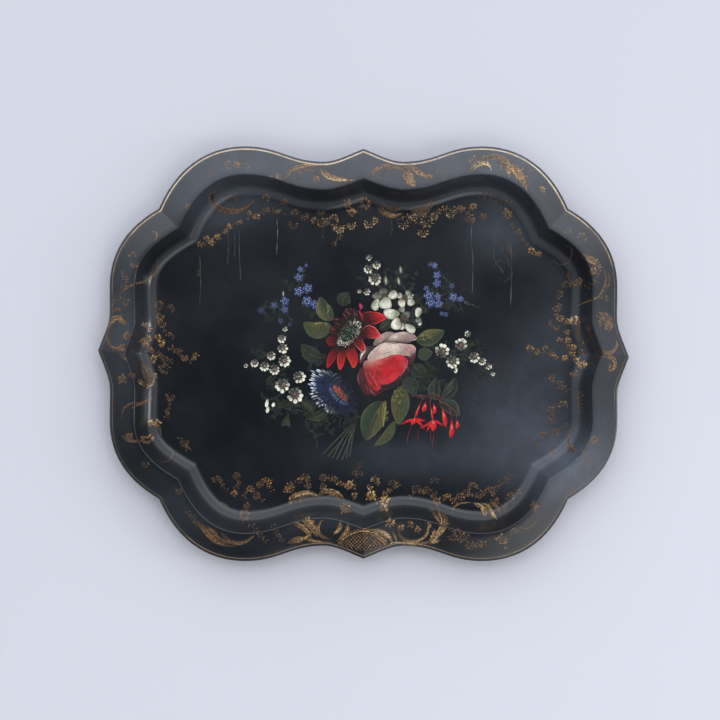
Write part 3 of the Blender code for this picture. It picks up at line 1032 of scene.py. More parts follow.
# outline, colour near the heart, colour towards the tip, and rim
RED_PETALS = (
    (
        ((-25, 51), (-18, 56), (-10, 54), (-3, 51), (-2, 41), (-11, 41), (-22, 42)),
        MAROON * 0.3, MAROON * 0.5, MAROON * 1.4,
    ),
    (
        ((-37, 41), (-32, 44), (-25, 41), (-28, 33), (-35, 33)),
        MAROON * 0.3, MAROON * 0.5, MAROON,
    ),
    (
        ((-42, 29), (-37, 34), (-30, 32), (-30, 23), (-38, 22)),
        MAROON * 0.5, MAROON, CRIMSON * 0.6,
    ),
    (
        ((-45, 19), (-40, 23), (-34, 22), (-31, 14), (-37, 9), (-44, 12)),
        MAROON, CRIMSON * 0.55, CRIMSON,
    ),
    (
        ((-43, 0), (-38, 7), (-33, 8), (-32, -1), (-36, -9), (-44, -17), (-45, -9)),
        CRIMSON * 0.5, CRIMSON, RED,
    ),
    (
        ((-32, -2), (-29, 4), (-24, 5), (-21, -3), (-24, -13), (-29, -19), (-32, -11)),
        CRIMSON * 0.6, RED * 0.8, SCARLET,
    ),
    (
        ((-22, 4), (-20, 9), (-12, 9), (-7, 0), (-7, -9), (-12, -17), (-17, -10), (-21, -3)),
        CRIMSON * 0.7, RED, SCARLET,
    ),
    (
        ((-13, 16), (-9, 21), (-3, 21), (1, 14), (2.5, 8), (0, 2.5), (-4, 4), (-9, 9)),
        CRIMSON * 0.7, RED, PINK_RIM,
    ),
    (
        ((-3, 51), (4, 53), (15, 52), (25, 48), (29, 45), (22, 40), (13, 36), (4, 38), (-3, 41)),
        CRIMSON * 0.4, RED, SCARLET,
    ),
    (
        (
            (-3, 23), (-2, 30), (2, 34), (6, 36), (13, 34),
            (18, 28), (20.5, 21), (15, 19), (8, 19), (2, 20),
        ),
        CRIMSON * 0.6, RED, PINK_RIM,
    ),
)
# small turned-over tips on the far petals
RED_TIPS = (
    ((-23, 53), (-19, 50), (-17, 45)), ((-19, 52), (-16, 48)), ((-27, 50), (-22, 46), (-20, 42)),
    ((-12, 53), (-11, 48), (-12, 43)), ((-35, 43), (-30, 42)), ((-34, 38), (-28, 35)),
    ((-40, 31), (-34, 29)), ((-9, 50), (-8, 46)), ((-22, 55), (-20, 53)),
)


def encloses(border, place):
    """Whether the closed line round border goes round place."""
    from_here = np.asarray(border) - place
    angles = np.arctan2(from_here[:, 1], from_here[:, 0])
    turns = (np.roll(angles, -1) - angles + math.pi) % (2 * math.pi) - math.pi
    return abs(np.sum(turns)) > math.pi


def paint_petal(coat, outline, deep, bright, rim):
    """A red petal: dark at the heart, streaked along its length, with a light free edge."""
    border = np.array(outline, float)
    away = np.linalg.norm(border - RED_HEART, axis=1)
    nearest = int(np.argmin(away))
    border = np.roll(border, -nearest, axis=0)
    tip = border[int(np.argmax(np.roll(away, -nearest)))]
    base = mixed(RED_HEART, tip, np.min(away) / np.max(away))
    along = (tip - base) / np.linalg.norm(tip - base)
    aside = np.array([-along[1], along[0]])
    border = border - 0.12 * ((border - base) @ aside)[:, None] * aside
    reach, half = np.linalg.norm(tip - base), np.max(np.abs((border - base) @ aside)) * 0.9
    tones = (deep * 0.35, deep * 0.7, mixed(deep, bright, 0.45), bright, mixed(bright, rim, 0.3))

    def colour(x, y):
        offset = np.array([x, y]) - base
        outward = offset @ along / reach
        crease = math.exp(-((offset @ aside / half / 0.3) ** 2)) * smooth(1.0, 0.2, outward)
        turned = smooth(0.0, 1.1, offset @ aside / half)
        return ramp(tones, outward) * (1 - 0.6 * crease) * (1 - 0.45 * turned)

    coat.patch(border, colour, rings=8, steps=44)
    for line in range(9):
        place = (line + 0.5) / 4.5 - 1 + coat.random.uniform(-0.08, 0.08)
        start = base + aside * place * half * 0.35
        end = base + along * reach * (0.93 - 0.3 * abs(place)) + aside * place * half * 0.45
        middle = (start + end) / 2 + aside * place * half * 0.42
        if not encloses(border, middle) or not encloses(border, end):
            continue
        tone = mixed(bright, deep * 0.6, 0.7) if line % 2 else mixed(bright, rim, 0.4)
        coat.stroke(
            [start, middle, end], leafy(0.4, 0.6, 0.45), shaded(deep * 0.4, tone * 0.7, tone),
            flat=line > 0,
        )
    coat.stroke(
        border[1:], leafy(0.38, 0.4),
        shaded(deep, mixed(bright, rim, 0.8), rim, mixed(bright, rim, 0.8), deep),
    )


def paint_red_flower():
    coat = Coat("red_flower", lift=0.22, seed=10)
    coat.dot(*RED_HEART, 25, MAROON * 0.35, 0.8, RED_HEART_TURN, steps=40, rings=4)
    for petal in RED_PETALS:
        paint_petal(coat, *petal)
    for knots in RED_TIPS:
        coat.stroke(knots, leafy(0.5, 0.5), srgb("703038"), flat=True)
    coat.stroke([(-1, 39), (-2, 46), (-6, 54)], leafy(1.6), shaded(MAROON, CRIMSON, PINK * 0.8))
    pink = shaded(PINK * 0.7, PINK, PINK * 0.7)
    coat.stroke([(-3.5, 54), (-3, 58), (-5, 62)], leafy(2.1, 0.7), pink, across=3)
    coat.done(PAINT)


def paint_red_flower_heart():
    """The dark green middle with its specks, ringed by pale stamens."""
    coat = Coat("red_flower_heart", lift=0.32, seed=11)

    def on_heart(angle, share):
        u, v = heading(angle) * share
        long, wide = heading(RED_HEART_TURN), heading(RED_HEART_TURN + 90)
        return RED_HEART + long * u * RED_HEART_LONG + wide * v * RED_HEART_WIDE

    green = wet(srgb("0c100c"), (*RED_HEART, 9, 5, RED_HEART_TURN, srgb("172a1d"), 0.7))
    coat.dot(*RED_HEART, 15.5, green, 0.52, RED_HEART_TURN, steps=36, rings=4)
    for speck in range(130):
        angle, share = coat.random.uniform(0, 360), 0.66 * math.sqrt(coat.random.random())
        spot = on_heart(angle, share)
        tone = mixed(srgb("12261a"), srgb("b9ccb4"), coat.random.random() ** 3.5)
        end = spot + heading(coat.random.uniform(0, 360)) * 0.9
        coat.stroke([spot, end], 0.36, tone, steps=4, flat=speck > 0)
    for stamen in range(230):
        angle = coat.random.uniform(0, 360)
        right = smooth(0.1, 0.9, math.cos(math.radians(angle + 15)))
        left = smooth(0.3, 0.95, math.cos(math.radians(angle - 200)))
        near = coat.random.uniform(0.62, 0.95)
        far = near + coat.random.uniform(0.08, 0.2)
        share = (0.1 + 0.9 * max(right, left)) * coat.random.random() ** 0.8
        tone = mixed(srgb("33201c"), srgb("e6dfc8"), share)
        knots = [on_heart(angle, near), on_heart(angle + coat.random.uniform(-5, 5), far)]
        tones = shaded(tone * 0.35, tone, tone)
        coat.stroke(knots, leafy(0.36, 0.5, 0.7), tones, steps=5, flat=stamen % 3 > 0)
    coat.done(PAINT)


ROSE_DUSK, ROSE_RED = srgb("1f1114"), srgb("a81a22")
# lines between the rose's petals: knots, colour and half width
ROSE_OUTER_RIMS = (
    (((-5, -20), (-7, -30), (-4, -40)), "8a5a5c"), (((2, -30), (4, -42), (13, -52)), "7a3438"),
    (((6, -38), (10, -46), (17, -51)), "96545a"), (((20, -41), (26, -43), (34, -40)), "4a2228"),
    (((34, -34), (44, -30), (52, -20)), "57323a"), (((50, -10), (54, -16), (55, -24)), "6c4a50"),
)
ROSE_BOWL_LINES = (
    (((5, -12), (16, -10), (27, -7), (36, -3), (46, -2.5)), "d98078", 0.7),
    (((51, -4), (54, -10), (50, -20), (44, -28)), "b87a78", 0.8),
    (((26, -13), (31, -16), (36, -14), (35, -9)), "8c1018", 0.6),
    (((28, -15), (33, -17), (37, -12)), "cf5a58", 0.45),
    (((38, -16), (45, -14), (51, -8)), "d2484a", 0.5),
    (((24, -27), (33, -26), (42, -20)), "9c141c", 0.7),
    (((20, -30), (30, -30), (40, -24)), "d04044", 0.45),
    (((6, -16), (8, -24), (14, -33), (18, -42)), "cc8480", 0.5),
    (((9, -14), (14, -20), (13, -30), (17, -38)), "c06e68", 0.5),
    (((3, -20), (5, -30), (11, -39)), "c8807c", 0.5),
    (((13, -15), (20, -19), (24, -16)), "c87068", 0.45),
    (((2, -16), (3, -25), (8, -35)), "8c3a3c", 0.6),
    (((40, -9), (43, -12), (41, -15), (38, -13)), "7e0e16", 0.5),
    (((30, -36), (38, -32), (46, -24)), "d86a66", 0.45),
    (((21, -38), (20, -42), (16, -45)), "d08a84", 0.5),
    (((12, -30), (17, -31), (19, -36)), "8e161e", 0.6),
    (((33, -5), (40, -5), (46, -8), (47, -12)), "94141c", 0.5),
)
ROSE_PALE_LINES = (
    (((6, -8), (7, -1), (16, 8), (26, 13.5)), "cdb8b0", 0.4),
    (((60, 15.5), (64, 18), (65, 20)), "c9b9b2", 0.5),
    (((25, 14), (40, 13.2), (60, 15.5)), "3c2c32", 0.5),
    (((15, 10), (22, 13), (27, 16), (33, 21)), "43323a", 0.5),
    (((62, 10), (60, 7), (57, 6), (60, 4)), "c07a7e", 0.7),
    (((22, 8), (32, 11), (44, 11)), "c8b4ac", 0.5),
    (((20, 0), (30, 4), (42, 4)), "cbb6aa", 0.45),
    (((14, -4), (24, 0), (34, 2)), "9c8478", 0.5),
    (((46, 10), (53, 8), (58, 4)), "b8989a", 0.5),
    (((33, 24), (44, 25.5), (54, 25)), "cbb6b8", 0.5),
)


def paint_rose():
    """The rose from its shaded outer petals to the bowl, then the lines between its petals."""
    coat = Coat("rose", lift=0.25, seed=12)
    outer = (
        (-1, -16), (-6, -22), (-7, -32), (-4, -41), (2, -50), (9, -49), (14, -53), (18, -50), (26, -46),
        (40, -40), (52, -28), (60, -14), (64, 2), (50, 0), (20, -10),
    )
    dusk = wet(
        ROSE_DUSK,
        (-2, -26, 7, 14, 0, srgb("521a1f"), 0.95), (10, -46, 10, 7, -20, srgb("56141a"), 0.9),
        (60, 0, 5, 8, 0, srgb("5a3038"), 0.9), (40, -38, 14, 6, 40, srgb("20151a"), 0.8),
    )
    coat.patch(outer, dusk)
    for knots, tone in ROSE_OUTER_RIMS:
        coat.stroke(knots, leafy(0.6), shaded(ROSE_DUSK, srgb(tone), ROSE_DUSK))
    left = ((-4, 2), (2, 8), (10, 10), (14, 8), (6, 0), (0, -8), (-4, -12), (-5, -6))
    left_tones = ((0, 2, 5, 3, 50, MAUVE * 0.8, 0.9), (-2, -8, 3, 4, 0, srgb("6a3038"), 0.8))
    coat.patch(left, wet(MAUVE_DARK * 0.8, *left_tones))
    left_light = shaded(MAUVE, ROSE_LIGHT, MAUVE_LIGHT)
    coat.stroke([(-4, -8), (-2, -1), (3, 4)], leafy(1.0), left_light, across=5)
    back_left = ((12, 11), (14, 17), (22, 24), (29, 27), (37, 26), (36, 22), (27, 16), (21, 12), (16, 10))
    back_left_tones = (
        (24, 21, 8, 4, 40, MAUVE_LIGHT, 0.6), (27, 15, 8, 2.5, 30, MAUVE_DARK, 0.9),
        (14, 12, 4, 4, 0, MAUVE_DARK, 0.5),
    )
    coat.patch(back_left, wet(MAUVE, *back_left_tones))
    back_right = ((25, 14), (32, 21), (42, 26), (52, 27), (64, 22), (60, 16), (51, 13), (37, 14))
    back_right_tones = (
        (43, 23, 12, 4, 15, MAUVE_LIGHT, 0.9), (37, 21, 4, 3, 0, ROSE_LIGHT, 0.5),
        (45, 14, 16, 2, -3, MAUVE_DARK, 0.85),
    )
    coat.patch(back_right, wet(MAUVE, *back_right_tones))
    lip = (
        (6, -8), (6, -2), (15, 8), (25, 13.5), (37, 14), (49, 12.5), (60, 11), (64, 6), (62, 0), (57, -3),
        (50, -2), (37, -3), (26, -8), (15, -11),
    )
    lip_tones = (
        (33, 8, 13, 6, 0, ROSE_LIGHT, 0.9), (28, 1, 12, 5, 30, srgb("bba492"), 0.8),
        (56, 6, 7, 5, -20, srgb("a0666c"), 0.8), (60, -1, 5, 4, 0, MAROON, 0.8),
        (48, 2, 6, 5, 0, MAUVE, 0.6), (12, -3, 8, 6, 40, srgb("a08580"), 0.7),
        (8, -8, 4, 4, 0, srgb("a87a72"), 0.6),
    )
    coat.patch(lip, wet(PALE_ROSE, *lip_tones), rings=12, steps=64)
    bowl = (
        (0, -11), (6, -7.5), (17, -7), (26, -5), (35, -1.5), (45, -1), (51, -4), (53, -11), (48, -21),
        (40, -30.5), (30, -37), (21, -38), (19, -43), (16, -45.5), (9, -41), (3, -32), (0.5, -22),
    )
    bowl_tones = (
        (8, -9, 13, 6, 8, srgb("b08474"), 1.0), (1, -27, 8, 14, 0, srgb("5e1a1e"), 1.0),
        (44, -5, 8, 4, -5, srgb("c8242c"), 0.9), (35, -8, 7, 4, 20, srgb("8e141c"), 0.7),
        (22, -33, 5, 4, 0, srgb("b04848"), 0.6), (35, -30, 9, 5, 35, srgb("c8262e"), 0.9),
        (50, -14, 3, 9, 15, srgb("b0484c"), 0.7), (12, -38, 6, 5, -50, srgb("76181e"), 0.8),
        (28, -20, 9, 6, 0, srgb("b8161e"), 0.9), (17, -25, 5, 9, 0, srgb("8c181d"), 0.8),
    )
    coat.patch(bowl, wet(srgb("a5161e"), *bowl_tones), rings=14, steps=72, centre=(27, -20))
    for knots, tone, half in ROSE_BOWL_LINES:
        line = mixed(srgb(tone), ROSE_RED, 0.6)
        coat.stroke(knots, leafy(half * 0.75, 0.6), shaded(mixed(line, ROSE_RED, 0.6), line, line))
    for knots, tone, half in ROSE_PALE_LINES:
        coat.stroke(knots, leafy(half, 0.6), srgb(tone))
    coat.done(PAINT)


# drops: top, widest, tip, half width
FUCHSIAS = (
    ((71, -57), (66, -70), (63, -79), 1.4), ((76, -58), (75, -65), (73, -71), 2.8),
    ((86, -60), (87, -68), (86, -74), 2.3), ((96, -64), (99, -78), (101, -90), 2.6),
    ((108, -79), (108, -93), (107, -103), 2.9), ((114, -80), (115, -86), (114, -92), 2.2),
    ((81, -59), (84, -75), (85, -80), 1.2), ((84, -78), (86, -86), (85, -95), 3.2),
    ((63, -76), (62, -82), (58, -87), 2.4),
)
FUCHSIA_STEMS = (
    ((56, -53), (66, -51), (80, -52)), ((66, -51), (72, -54), (71, -58)),
    ((80, -52), (82, -56), (81, -60)), ((80, -52), (92, -56), (96, -64)),
    ((92, -56), (104, -64), (108, -79)), ((100, -62), (112, -70), (114, -80)),
    ((80, -52), (90, -50), (96, -56)),
)
FUCHSIA_SEPALS = (
    ((62, -80), (54, -82), (45, -87)), ((63, -81), (69, -85), (75, -93)),
    ((64, -79), (70, -81), (76, -82)), ((84, -82), (77, -87), (68, -91)),
    ((86, -82), (92, -84), (98, -89)), ((84, -83), (80, -90), (77, -95)),
)
STAMENS = (
    ((60, -86), (55, -98), (53, -111)), ((66, -92), (67, -100), (65, -106)),
    ((86, -95), (85, -106), (84, -116)), ((82, -94), (82, -102), (84, -110)),
    ((45, -87), (50, -83), (56, -82)),
)


def paint_fuchsias():
    coat = Coat("fuchsias", lift=0.22, seed=13)
    for knots in FUCHSIA_STEMS:
        coat.stroke(knots, leafy(0.45, 0.4), shaded(srgb("4a2024"), srgb("6a3a34"), srgb("8a2428")))
    for knots in STAMENS:
        coat.stroke(knots, leafy(0.35, 0.4), shaded(srgb("8a1c22"), srgb("6a2226"), srgb("5a3a30")))
    for knots in FUCHSIA_SEPALS:
        coat.stroke(knots, leafy(1.5, 0.6, 0.35), shaded(RED, RED, CRIMSON), across=5)
    for top, widest, tip, half in FUCHSIAS:
        colour = shaded(CRIMSON, RED, RED, CRIMSON, side=SCARLET * 0.8, towards=-1.0)
        coat.stroke([top, widest, tip], leafy(half, 0.75, 0.62), colour, across=7)
        light = [mixed(np.array(top), np.array(widest), 0.5), widest]
        coat.stroke(light, leafy(half * 0.22), srgb("e8786c"))
    coat.done(PAINT)


# ------------------------------------------------------------------ gold ornament, in millimetres
GILDING = 1.12  # raises the strength of all gold
GILT, GILT_LIGHT, GILT_DARK, GHOST = srgb("c29052"), srgb("fbdca6"), srgb("7c5e42"), srgb("42382d")


def gilt(strength):
    """Gold between a brown ghost at 0 and bright at 1."""
    return ramp((GHOST, GILT_DARK, GILT, GILT_LIGHT), strength * GILDING)


def fan(coat, x, y, near, far, facing, spread, count, half, strength):
    """Short dabs pressed round (x, y), pointing away from it."""
    for at in range(count):
        angle = facing + spread * ((at + 0.5) / count - 0.5) + coat.random.uniform(-7, 7)
        direction = heading(angle)
        start = (x, y) + direction * near * coat.random.uniform(0.85, 1.15)
        end = (x, y) + direction * far * coat.random.uniform(0.85, 1.1)
        tone = gilt(strength * coat.random.uniform(0.65, 1.1))
        tones = shaded(tone * 0.6, tone, tone)
        coat.stroke([start, end], leafy(half, 0.6, 0.62), tones, steps=5, flat=True)


def umbel(coat, x, y, radius, facing, strength):
    """A flower head of two rings of dabs, open towards facing."""
    fan(coat, x, y, radius * 0.6, radius * 1.02, facing, 240, 11, 0.52, strength * 1.1)
    coat.layer()
    fan(coat, x, y, radius * 0.2, radius * 0.5, facing, 280, 6, 0.45, strength * 0.85)
    fan(coat, x, y, radius * 1.0, radius * 1.2, facing, 200, 4, 0.34, strength * 0.8)


def rosette(coat, x, y, radius, turn, strength):
    """A loose flower: broad short dabs over each other, lit on one side."""
    for dab in range(13):
        angle = turn + 137.5 * dab + coat.random.uniform(-20, 20)
        direction = heading(angle)
        inner = radius * coat.random.uniform(0.0, 0.35)
        outer = inner + radius * coat.random.uniform(0.45, 0.8)
        lit = 0.5 + 0.5 * math.cos(math.radians(angle - 60))
        tone = gilt(strength * (0.6 + 0.5 * lit) * coat.random.uniform(0.75, 1.1))
        knots = [(x, y) + direction * inner, (x, y) + direction * outer]
        half = radius * coat.random.uniform(0.09, 0.2)
        coat.stroke(knots, leafy(half, 0.5, 0.6), shaded(tone * 0.55, tone, tone), steps=6)


def spray(coat, knots, size, strength):
    """A thin stem with small leaves on both sides."""
    coat.stroke(knots, leafy(0.35, 0.3), gilt(strength * 0.6))
    curve = curve_through(knots, SPRAY_PAIRS)
    for place, slope in zip(curve, np.gradient(curve, axis=0)):
        angle = math.degrees(math.atan2(slope[1], slope[0]))
        for side in (-1, 1):
            if coat.random.random() < 0.15:
                continue
            direction = heading(angle + side * coat.random.uniform(35, 70))
            reach = size * coat.random.uniform(0.7, 1.2)
            tone = gilt(strength * coat.random.uniform(0.6, 1.1))
            start = place + direction * reach * 0.3
            coat.stroke([start, place + direction * reach], leafy(size * 0.2, 0.6, 0.6), tone, steps=5)


def beside(knots, shift):
    """Even knots along the curve, moved sideways by shift(t)."""
    curve = curve_through(knots, BESIDE_STEPS)
    aside = directions(curve)[:, ::-1] * (-1, 1)
    shifts = [shift(at / BESIDE_STEPS) for at in range(BESIDE_STEPS + 1)]
    return curve + np.array(shifts)[:, None] * aside


def scroll(coat, knots, width, strength, strands):
    """A curling band of parallel strokes that part in the middle and meet at both ends."""
    if strands > 1:
        wash = mixed(BLACK, GILT_DARK, 0.18 + 0.42 * strength)
        tones = shaded(BLACK, wash, wash, BLACK)
        coat.stroke(beside(knots, lambda t: 0.0), leafy(width * 0.5, 0.6), tones, across=4)
    for strand in range(strands):
        place = (strand + 0.5) / strands - 0.5
        path = beside(knots, lambda t: place * width * math.sin(math.pi * t**0.6) ** 0.8)
        first, last = coat.random.randint(0, 1), coat.random.randint(0, 1)
        path = path[first : len(path) - last]
        tone = gilt(strength * coat.random.uniform(0.65, 1.3))
        half = width / strands * coat.random.uniform(0.18, 0.33)
        coat.stroke(path, leafy(half, 0.6, 0.6), shaded(tone * 0.45, tone * 0.8, tone, tone * 0.8))


def plume(coat, knots, reach, side, strength):
    """A curving leaf: a spine with comma strokes leaving it on one side."""
    coat.stroke(knots, leafy(reach * 0.12, 0.5), gilt(strength * 0.9))
    curve = curve_through(knots, PLUME_BARBS + 2)
    slopes = directions(curve)
    for barb in range(1, PLUME_BARBS + 1):
        swell = math.sin(math.pi * (0.15 + 0.8 * barb / (PLUME_BARBS + 1)))
        out = side * np.array([-slopes[barb][1], slopes[barb][0]])
        start = curve[barb]
        end = start + out * reach * swell + slopes[barb] * reach * 0.45
        tone = gilt(strength * coat.random.uniform(0.6, 1.15))
        barb_knots = [start, (start + end) / 2 + out * reach * 0.12, end]
        coat.stroke(barb_knots, leafy(reach * 0.13, 0.55, 0.6), shaded(tone * 0.6, tone, tone), steps=7)


# x, y, radius, facing and strength
UMBELS = (
    (-86, 158, 6, -100, 0.36), (-84, 172, 5, 90, 0.5), (-72, 169, 5, -60, 0.48),
    (-52, 173, 4, -90, 0.32), (-51, 161, 6, -100, 0.55), (-60, 163, 4, 150, 0.5),
    (-36, 165, 6, 70, 0.7), (-30, 154, 7, -80, 0.95), (-15, 158, 6, -90, 0.88), (7, 160, 7, -90, 0.85),
    (14, 163, 4, 20, 0.75), (49, 159, 7, -70, 0.72), (57, 165, 3, 60, 0.7), (67, 166, 7, 130, 0.75),
    (77, 162, 8, -90, 0.8), (86, 167, 5, 60, 0.8), (73, 149, 7, -90, 0.75), (106, 172, 6, -80, 0.72),
    (118, 178, 4, 90, 0.62), (131, 165, 6, -90, 0.42), (-236, 55, 5, 40, 0.45),
    (-250, 60, 5, 100, 0.45), (-248, 46, 5, -90, 0.5), (-246, 37, 5, -90, 0.42), (-235, 21, 4, 60, 0.3),
    (-236, 8, 4, -60, 0.34), (-219, -4, 5, -100, 0.5), (-208, -3, 4, -30, 0.55),
    (-225, 3, 4, 100, 0.35), (-247, -14, 4, -60, 0.4), (-256, -27, 4, 60, 0.72),
    (-236, -52, 5, -90, 0.33), (-241, -72, 4, 20, 0.3), (-219, -108, 6, -90, 0.36),
    (-202, 99, 4, 0, 0.2), (-264, 32, 6, 40, 0.85), (236, 56, 5, -60, 0.45), (240, 45, 5, -90, 0.62),
    (231, 38, 5, 180, 0.32), (236, 33, 4, -90, 0.35), (240, 16, 4, 90, 0.6), (251, 16, 4, 90, 0.62),
    (248, 26, 3, 90, 0.5), (204, 6, 4, 120, 0.6), (211, 3, 4, -40, 0.55), (223, 6, 4, 110, 0.45),
    (229, 1, 4, -20, 0.5), (234, -5, 4, 30, 0.48), (232, -30, 5, 170, 0.36), (240, -38, 5, -30, 0.34),
    (257, -23, 5, -60, 0.45), (244, -63, 6, 90, 0.5), (230, -69, 5, 100, 0.35),
    (230, -77, 5, -90, 0.34), (236, -94, 5, -80, 0.35), (218, -99, 4, 0, 0.4),
    (213, -108, 4, -120, 0.36), (230, -117, 6, -60, 0.32), (262, -50, 5, 20, 0.25),
    (-90, -164, 6, -90, 0.62), (-71, -152, 6, 90, 0.42), (-69, -160, 4, -70, 0.4),
    (-49, -152, 5, 90, 0.4), (-49, -162, 4, -90, 0.45), (-36, -156, 6, 60, 0.42),
    (-119, -157, 7, 40, 0.5), (-127, -160, 4, 180, 0.4), (-178, -155, 6, 120, 0.3),
    (-155, -150, 5, 100, 0.3), (-138, -166, 5, 90, 0.5), (-131, -173, 5, -40, 0.42),
    (-5, -148, 5, 100, 0.35), (14, -156, 6, 60, 0.72), (8, -162, 4, -120, 0.7), (36, -160, 6, 60, 0.35),
    (28, -168, 5, -60, 0.38), (65, -166, 6, 70, 0.36), (78, -168, 6, 100, 0.45),
    (86, -172, 5, -60, 0.4), (87, -156, 6, 90, 0.25), (103, -176, 5, 100, 0.55),
    (118, -176, 6, 90, 0.42), (126, -171, 5, 60, 0.42), (134, -163, 6, 100, 0.5),
    (142, -171, 5, -30, 0.42), (155, -168, 6, 60, 0.45), (160, -178, 5, -60, 0.4),
    (172, -158, 7, 100, 0.28), (180, -174, 5, 60, 0.4), (170, -188, 5, 40, 0.3),
    (122, -221, 7, 120, 0.42), (128, -230, 6, -60, 0.4), (140, -228, 4, 0, 0.4),
    (168, -224, 5, -60, 0.45), (181, -214, 5, 100, 0.35), (107, -219, 6, -60, 0.28),
    (113, -214, 4, 90, 0.35), (-162, 227, 5, 160, 0.42), (-143, 225, 5, 60, 0.36),
    (-186, 217, 4, 60, 0.34), (133, 233, 6, 100, 0.5), (146, 234, 4, 90, 0.42), (92, 218, 5, 90, 0.32),
    (96, 212, 4, -60, 0.3), (203, 219, 4, 60, 0.34), (-275, 108, 5, -90, 0.36),
    (-278, 118, 5, 90, 0.42), (290, 66, 5, 60, 0.36), (-279, -27, 4, 60, 0.36), (263, 140, 6, 60, 0.42),
    (246, 147, 5, 100, 0.3), (238, 73, 6, 0, 0.4), (248, 83, 6, 90, 0.33), (250, -166, 6, 60, 0.36),
    (267, -128, 6, 0, 0.33), (-262, -132, 5, -90, 0.32),
)
# x, y, radius, turn and strength
ROSETTES = (
    (-131, 168, 5, 10, 0.72), (-140, 172, 4, 0, 0.45), (-117, 176, 4, 20, 0.42),
    (-105, 174, 4, 0, 0.36), (-186, 136, 6, 15, 0.62), (-191, 141, 5, 0, 0.5), (-178, 143, 5, 30, 0.62),
    (-168, 150, 4, 10, 0.6), (-164, 156, 4, 40, 0.66), (-152, 161, 4, 20, 0.35),
    (-200, 134, 5, 20, 0.35), (-14, 174, 7, 15, 0.6), (-19, 184, 7, 0, 0.36), (3, 184, 9, 12, 0.32),
    (134, 180, 6, 20, 0.6), (146, 168, 6, 0, 0.36), (176, 171, 8, 10, 0.42), (190, 149, 4, 0, 0.45),
    (205, 126, 6, 20, 0.62), (214, 122, 5, 0, 0.55), (-268, 15, 6, 10, 0.55), (-262, 19, 5, 40, 0.6),
    (-265, 11, 5, 0, 0.55), (-251, 20, 6, 20, 0.62), (-247, 13, 6, 0, 0.68), (-259, 4, 5, 0, 0.42),
    (-257, -6, 6, 25, 0.62), (-248, -2, 4, 0, 0.4), (-285, 22, 7, 10, 0.34), (-290, 7, 6, 0, 0.4),
    (-290, -30, 7, 20, 0.33), (-260, -84, 6, 0, 0.7), (-252, -85, 6, 30, 0.7), (-222, -165, 5, 0, 0.2),
    (258, 41, 7, 15, 0.86), (250, 39, 5, 0, 0.8), (257, 8, 5, 0, 0.66), (255, 0, 5, 20, 0.6),
    (246, -5, 5, 0, 0.66), (260, -8, 5, 30, 0.72), (267, -14, 7, 0, 0.78), (266, 3, 5, 10, 0.35),
    (295, 32, 7, 0, 0.4), (287, 38, 7, 20, 0.34), (276, 100, 6, 0, 0.42), (262, 88, 6, 20, 0.4),
    (276, -104, 6, 0, 0.4), (252, -115, 6, 15, 0.35), (215, 198, 5, 0, 0.5), (-152, 227, 5, 0, 0.45),
    (-57, 210, 6, 20, 0.42), (78, 213, 6, 0, 0.48), (-158, -170, 5, 10, 0.62), (-17, -160, 7, 20, 0.72),
    (-11, -173, 5, 0, 0.5), (9, -172, 7, 10, 0.7), (27, -178, 7, 0, 0.78), (25, -187, 7, 20, 0.75),
    (90, -180, 6, 0, 0.6), (205, -184, 7, 10, 0.4), (-66, -203, 8, 10, 0.62), (-60, -211, 6, 0, 0.45),
    (32, -203, 7, 10, 0.62), (45, -209, 5, 0, 0.55), (57, -205, 5, 20, 0.48), (65, -211, 5, 0, 0.55),
    (-22, -188, 8, 20, 0.62), (-145, -197, 8, 0, 0.3), (-143, -186, 6, 10, 0.3),
    (192, 205, 5, 10, 0.35), (-119, 191, 6, 0, 0.3), (-97, 186, 6, 10, 0.28), (-262, -104, 8, 10, 0.4),
    (-211, 177, 5, 0, 0.3), (-281, -100, 6, 0, 0.3),
)
